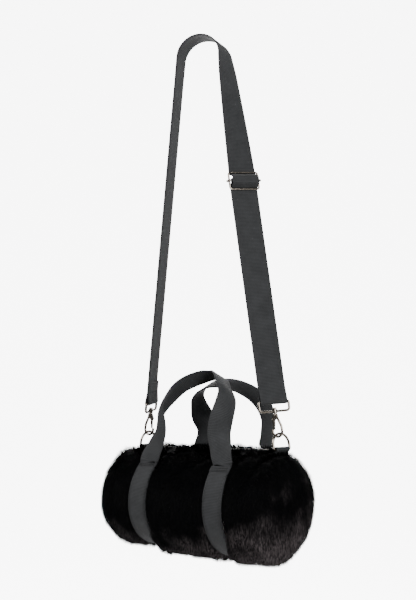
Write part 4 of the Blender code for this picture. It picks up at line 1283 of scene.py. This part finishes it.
# %% Handles
# Each handle's side, rise, place of its top, tilt, where its two legs turn, and how much it cups.
# Its rows go from foot to top: share of the rise, half width, lean, and, where they stray, how
# far the left and the right leg drift.
FRONT_HANDLE = (-1, 0.1121, 0.0142, math.radians(21.4), ((0.02, 1.0), (0.02, 1.0)), 0.0060, (
    (0.0, 1.0, 0.0), (0.03, 1.0, 0.01), (0.11, 0.945, 0.037), (0.22, 0.872, 0.103),
    (0.34, 0.8, 0.155), (0.46, 0.794, 0.207), (0.57, 0.819, 0.262), (0.67, 0.812, 0.359),
    (0.76, 0.754, 0.482), (0.84, 0.646, 0.563), (0.9, 0.518, 0.645), (0.95, 0.366, 0.788),
    (0.983, 0.212, 0.924), (0.997, 0.089, 0.986), (1.0, 0.0, 1.0),
))
REAR_HANDLE = (1, 0.1016, 0.0289, math.radians(21.6), ((0.31, 0.79), (0.0, 0.20)), 0.0020, (
    (0.0, 1.0, 0.0), (0.03, 1.0, -0.006, 0.002, 0.0), (0.1, 0.96, -0.03, 0.0068, 0.0004),
    (0.2, 0.928, -0.1, 0.0092, 0.0012), (0.32, 0.892, -0.2, 0.01, 0.0045),
    (0.44, 0.886, -0.25, 0.0092, 0.0055), (0.56, 0.926, -0.18, 0.0066, 0.0044),
    (0.67, 0.925, -0.06, 0.0034, 0.0022), (0.77, 0.876, 0.14), (0.85, 0.772, 0.428),
    (0.92, 0.592, 0.694), (0.967, 0.388, 0.874), (0.993, 0.18, 0.973), (1.0, 0.0, 1.0),
))
HANDLE_RAISE = 0.0011


# %% Smooth paths for the handles
def eased(points, steps=4):
    """The same row of vectors or numbers with smooth ones between them."""
    made = []
    for k in range(len(points) - 1):
        a, b = points[max(k - 1, 0)], points[k]
        c, d = points[k + 1], points[min(k + 2, len(points) - 1)]
        for j in range(steps):
            t = j / steps
            made.append(0.5 * (2 * b + (c - a) * t + (2 * a - 5 * b + 4 * c - d) * t * t
                               + (3 * b - a - 3 * c + d) * t ** 3))
    return made + [points[-1]]


# %% A handle's path
def handle_path(sign, rise, top_y, tilt, turn_shares, cup, shares):
    """A handle's path, hints and cupping, from its left foot to its right one."""
    low = Vector((0, sign * band_line * math.sin(STITCH_TURN),
                  BARREL_Z + band_line * math.cos(STITCH_TURN)))
    lift = Vector((0, -sign, 1)).normalized() * HANDLE_RAISE
    lean = top_y - settle(low).y
    rows = [(up, -out, in_, drift[0] if drift else 0.0) for up, out, in_, *drift in shares]
    rows += [(up, out, in_, drift[1] if drift else 0.0)
             for up, out, in_, *drift in reversed(shares[:-1])]
    path, hints, bows = [], [], []
    for up, out, in_, drift in rows:
        start, end = turn_shares[1 if out > 0 else 0]
        turn = QUARTER * ease(min(max((up - start) / (end - start), 0), 1))
        facing = -1 if out > 0 else 1
        path.append(low + lift + Vector((out * BAND_X + drift, lean * in_, rise * up)))
        hints.append(Vector((math.cos(turn) * facing, sign * math.sin(turn) * math.cos(tilt),
                             math.sin(turn) * math.sin(tilt))))
        bows.append(cup * math.sin(2 * turn))

    def ride(spot):
        """Carry the whole handle along with the place where its foot settles."""
        foot = Vector((spot.x, low.y, low.z))
        return spot + settle(foot) - foot

    return eased(path), eased(hints), eased(bows), ride


# %% Sweep the two handles
for body, name, facts in (
    ("front_handle", "carry_handle_front", FRONT_HANDLE),
    ("rear_handle", "carry_handle_rear", REAR_HANDLE),
):
    path, hints, bows, ride = handle_path(*facts)
    grip = sweep(name, path, hints, TAPE_SECTION, POLYESTER_WEBBING, form=ride, bows=bows)
    finish_piece(grip, body, "webbing", "handle_" + body.split("_")[0])

# %% [markdown]
# ## Stitching
#
# Sewn rows are what repeats along a path, so a second tree lays them: it walks along a line at
# an even spacing and sets one small thread bead at each step. The same tree serves the bands'
# long edges, their cross seams and the box sewn into the strap's fold. Real thread is about
# 0.3 mm thick. It is drawn twice as thick, and on the bands three times, so that it shows.


# %% The stitching tree
def make_stitch_tree():
    """Walk along lines of edges and lay one thread bead at each step."""
    tree, given = new_tree("sew_row", (
        ("Spacing", "Float"), ("Stitch Length", "Float"), ("Thread Radius", "Float"),
        ("Material", "Material"),
    ))
    line = add_node(tree, "GeometryNodeMeshToCurve", {"Mesh": given["Geometry"]})
    walked = add_node(
        tree, "GeometryNodeResampleCurve",
        {"Curve": line.outputs[0], "Length": given["Spacing"]}, mode="LENGTH",
    )
    tangent = add_node(tree, "GeometryNodeInputTangent")
    turned_to = add_node(
        tree, "FunctionNodeAlignRotationToVector", {"Vector": tangent.outputs[0]}, axis="Z"
    )
    bead = add_node(tree, "GeometryNodeMeshUVSphere", {"Segments": 6, "Rings": 4, "Radius": 1.0})
    long = add_node(
        tree, "ShaderNodeMath", {0: given["Stitch Length"], 1: 0.5}, operation="MULTIPLY"
    )
    size = add_node(
        tree, "ShaderNodeCombineXYZ",
        {"X": given["Thread Radius"], "Y": given["Thread Radius"], "Z": long.outputs[0]},
    )
    sewn = add_node(
        tree, "GeometryNodeInstanceOnPoints",
        {"Points": walked.outputs[0], "Instance": bead.outputs["Mesh"],
         "Rotation": turned_to.outputs[0], "Scale": size.outputs[0]},
    )
    return end_tree(tree, given, sewn)


sew_row = make_stitch_tree()


# %% Sewing rows into one piece
def stitch(name, body, rows, spacing=0.0034, thread=0.00032):
    """Sew rows, each a list of points, into one piece that rides on a body."""
    lines = bmesh.new()
    for row in rows:
        dots = [lines.verts.new(spot) for spot in row]
        for a, b in zip(dots, dots[1:]):
            lines.edges.new((a, b))
    mesh = bpy.data.meshes.new(name + "_rows")
    lines.to_mesh(mesh)
    lines.free()
    sewn = grown_mesh(name, mesh, sew_row, {
        "Spacing": spacing, "Stitch Length": spacing * 0.8, "Thread Radius": thread,
        "Material": SEWING_THREAD,
    })
    finish_piece(sewn, body, "webbing")


# %% Rows on the bands
EDGE_ROW, SEAM_END, SEAM_DROPS, TONGUE_HOLD = 0.0025, 0.0035, (0.0025, 0.0055), 0.007
BAND_THREAD = 0.00048
face = BAND_THICK / 2 + TAPE_BOW
for side in bend:
    rows = []
    for edge in (-1, 1):
        aside = edge * (BAND_WIDTH / 2 - EDGE_ROW)
        rows.append([settle(band_spot(side, turn, face, aside)) for turn in band_turns])
    for sign in (-1, 1):
        on_tongue = side == "right" and sign > 0
        for drop in SEAM_DROPS:
            turn = sign * (STITCH_TURN + (drop + on_tongue * (TONGUE - TONGUE_HOLD)) / band_line)
            above = face + on_tongue * TONGUE_THICK
            ends = [edge * (BAND_WIDTH / 2 - SEAM_END) for edge in (-1, 1)]
            rows.append([settle(band_spot(side, turn, above, aside)) for aside in ends])
    stitch("band_stitching_" + side, "bag", rows, thread=BAND_THREAD)

# %% A box sewn into the strap's left fold
BOX_HALF, BOX_LOW, BOX_HIGH = 0.0155, 0.0145, 0.0265
out = layer + STRAP_THICK / 2 + 0.0002
rows = []
for s in (BOX_LOW, BOX_HIGH):
    rows += [[left @ Vector((x, y, s)) for x in (-BOX_HALF, BOX_HALF)] for y in (out, -out)]
for x in (-BOX_HALF, BOX_HALF):
    rows += [[left @ Vector((x, y, s)) for s in (BOX_LOW, BOX_HIGH)] for y in (out, -out)]
stitch("strap_fold_stitching", "strap", rows, spacing=0.0026, thread=0.00028)

# %% [markdown]
# ## The zip
#
# Two woven tapes lie in the top of the bag and carry metal teeth, which a tree sets along each
# edge half a step apart, so that they mesh. The slider has a plate over and under the teeth
# and a small bridge, and the pull is a slim tag that hangs in it.

# %% Tapes
TAPE_TOP, SLIDER_X = bag_top - 0.0042, -0.088
across_y = Vector((0, 1, 0))
ZIP_TAPE_WIDTH, ZIP_TAPE_THICK, ZIP_TAPE_Y = 0.0107, 0.0010, 0.00785
zip_section = tape_section(ZIP_TAPE_WIDTH, ZIP_TAPE_THICK)
for side_name, sign in (("front", -1), ("rear", 1)):
    ends = (-ZIP_HALF + 0.0005, 0, ZIP_HALF - 0.0005)
    path = [Vector((x, sign * ZIP_TAPE_Y, TAPE_TOP - ZIP_TAPE_THICK / 2)) for x in ends]
    web = sweep("zip_web_" + side_name, path, across_y, zip_section, HERRINGBONE_TAPE)
    finish_piece(web, "bag", "zip_tape", "zip_tape_" + side_name)

# %% Teeth
TOOTH_STEP, TEETH_HALF, TEETH_ASIDE = 0.0026, 0.093, 0.0011


def make_teeth_tree():
    """Walk along the zip's edges and set one rounded tooth at each step."""
    tree, given = new_tree("set_teeth", (
        ("Step", "Float"), ("Tooth Width", "Float"), ("Tooth Length", "Float"),
        ("Tooth Height", "Float"), ("Material", "Material"),
    ))
    line = add_node(tree, "GeometryNodeMeshToCurve", {"Mesh": given["Geometry"]})
    walked = add_node(
        tree, "GeometryNodeResampleCurve", {"Curve": line.outputs[0], "Length": given["Step"]},
        mode="LENGTH",
    )
    size = add_node(
        tree, "ShaderNodeCombineXYZ",
        {"X": given["Tooth Width"], "Y": given["Tooth Length"], "Z": given["Tooth Height"]},
    )
    ball = add_node(tree, "GeometryNodeMeshUVSphere", {"Segments": 8, "Rings": 5, "Radius": 0.62})
    sized = add_node(
        tree, "GeometryNodeTransform",
        {"Geometry": ball.outputs["Mesh"], "Scale": size.outputs[0]},
    )
    teeth = add_node(
        tree, "GeometryNodeInstanceOnPoints",
        {"Points": walked.outputs[0], "Instance": sized.outputs[0]},
    )
    return end_tree(tree, given, teeth)


# %% Set the teeth
lines = bmesh.new()
for sign in (-1, 1):
    y, shift = sign * TEETH_ASIDE, sign * TOOTH_STEP / 4
    ends = [end * TEETH_HALF + shift for end in (-1, 1)]
    lines.edges.new([lines.verts.new((x, y, TAPE_TOP)) for x in ends])
tooth_lines = bpy.data.meshes.new("tooth_lines")
lines.to_mesh(tooth_lines)
lines.free()
teeth = grown_mesh("zip_teeth", tooth_lines, make_teeth_tree(), {
    "Step": TOOTH_STEP, "Tooth Width": 0.0013, "Tooth Length": 0.0030, "Tooth Height": 0.0016,
    "Material": NICKEL,
})
finish_piece(teeth, "bag", "gunmetal")

# %% Slider
slider_place = Matrix.Translation((SLIDER_X, 0, TAPE_TOP))
shape = bmesh.new()
for low, high in ((0.0010, 0.0020), (-0.0023, -0.0013)):
    add_block(shape, slider_place, (-0.006, -0.0045, low), (0.006, 0.0045, high), SOFT_EDGE)
corners = [(-0.0031, 0.0015), (-0.0031, 0.0050), (0.0031, 0.0050), (0.0031, 0.0015)]
bridge = rounded(corners, [0.0012] * 4)
bend_into(shape, slider_place, bridge, bar_section(0.0012, 0.0005, 0.8, 0.5))
slider = make_piece("zip_slider_body", shape, GUNMETAL_PLATE)
finish_piece(slider, "slider", "gunmetal", "zip_slider")

# %% Pull
pull_z = TAPE_TOP + 0.0025
levels = (-0.0005, 0.0005)
shape = bmesh.new()
corners = [(-0.0006, -0.0030), (0.0062, -0.0032), (0.019, -0.0022), (0.019, 0.0022),
           (0.0062, 0.0032), (-0.0006, 0.0030)]
outline = rounded(corners, [0.0008, 0.004, 0.002, 0.002, 0.004, 0.0008], closed=True)
corners = [(0.0006, -0.0016), (0.0058, -0.0016), (0.0058, 0.0016), (0.0006, 0.0016)]
hole = rounded(corners, [0.0007] * 4, steps=8, closed=True)


def ring_at(points, z):
    """One of the pull's two outlines as vertices, at one level of its thickness."""
    return [shape.verts.new((SLIDER_X + x, y, pull_z + z)) for x, y in points]


outer = [ring_at(outline, z) for z in levels]
inner = [ring_at(hole, z) for z in levels]
for lower, upper in (outer, inner):
    for k in range(len(lower)):
        n = (k + 1) % len(lower)
        shape.faces.new((lower[k], lower[n], upper[n], upper[k]))
for rims in zip(outer, inner):
    edges = [shape.edges.get((rim[k - 1], rim[k])) for rim in rims for k in range(len(rim))]
    bmesh.ops.triangle_fill(shape, use_beauty=True, edges=edges)
pull = make_piece("zip_pull_tag", shape, GUNMETAL_PLATE)
finish_piece(pull, "pull", "gunmetal", "zip_pull")

# %% [markdown]
# ## The pieces inside
#
# Wadding and lining lie inside the shell, and a leaf spring behind each gate. Their shapes in
# the engineering model are right, so they only get their finishes.

# %% Finishes for the carried-over parts
INSIDE = (("padding", WADDING), ("lining", LINING_CLOTH), ("hook_spring", SPRING_STEEL))
for name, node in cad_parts.items():
    for start, finish in INSIDE:
        if name.startswith(start):
            for place in node.material_slots:
                place.material = finish
            print(name, "is finished as", finish.name)

# %% Measure and finish
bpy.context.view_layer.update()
shown = [o for o in bpy.data.objects if o.type == "MESH" and not o.hide_render]
print("it has", sum(len(o.data.polygons) for o in shown), "faces, stage included")
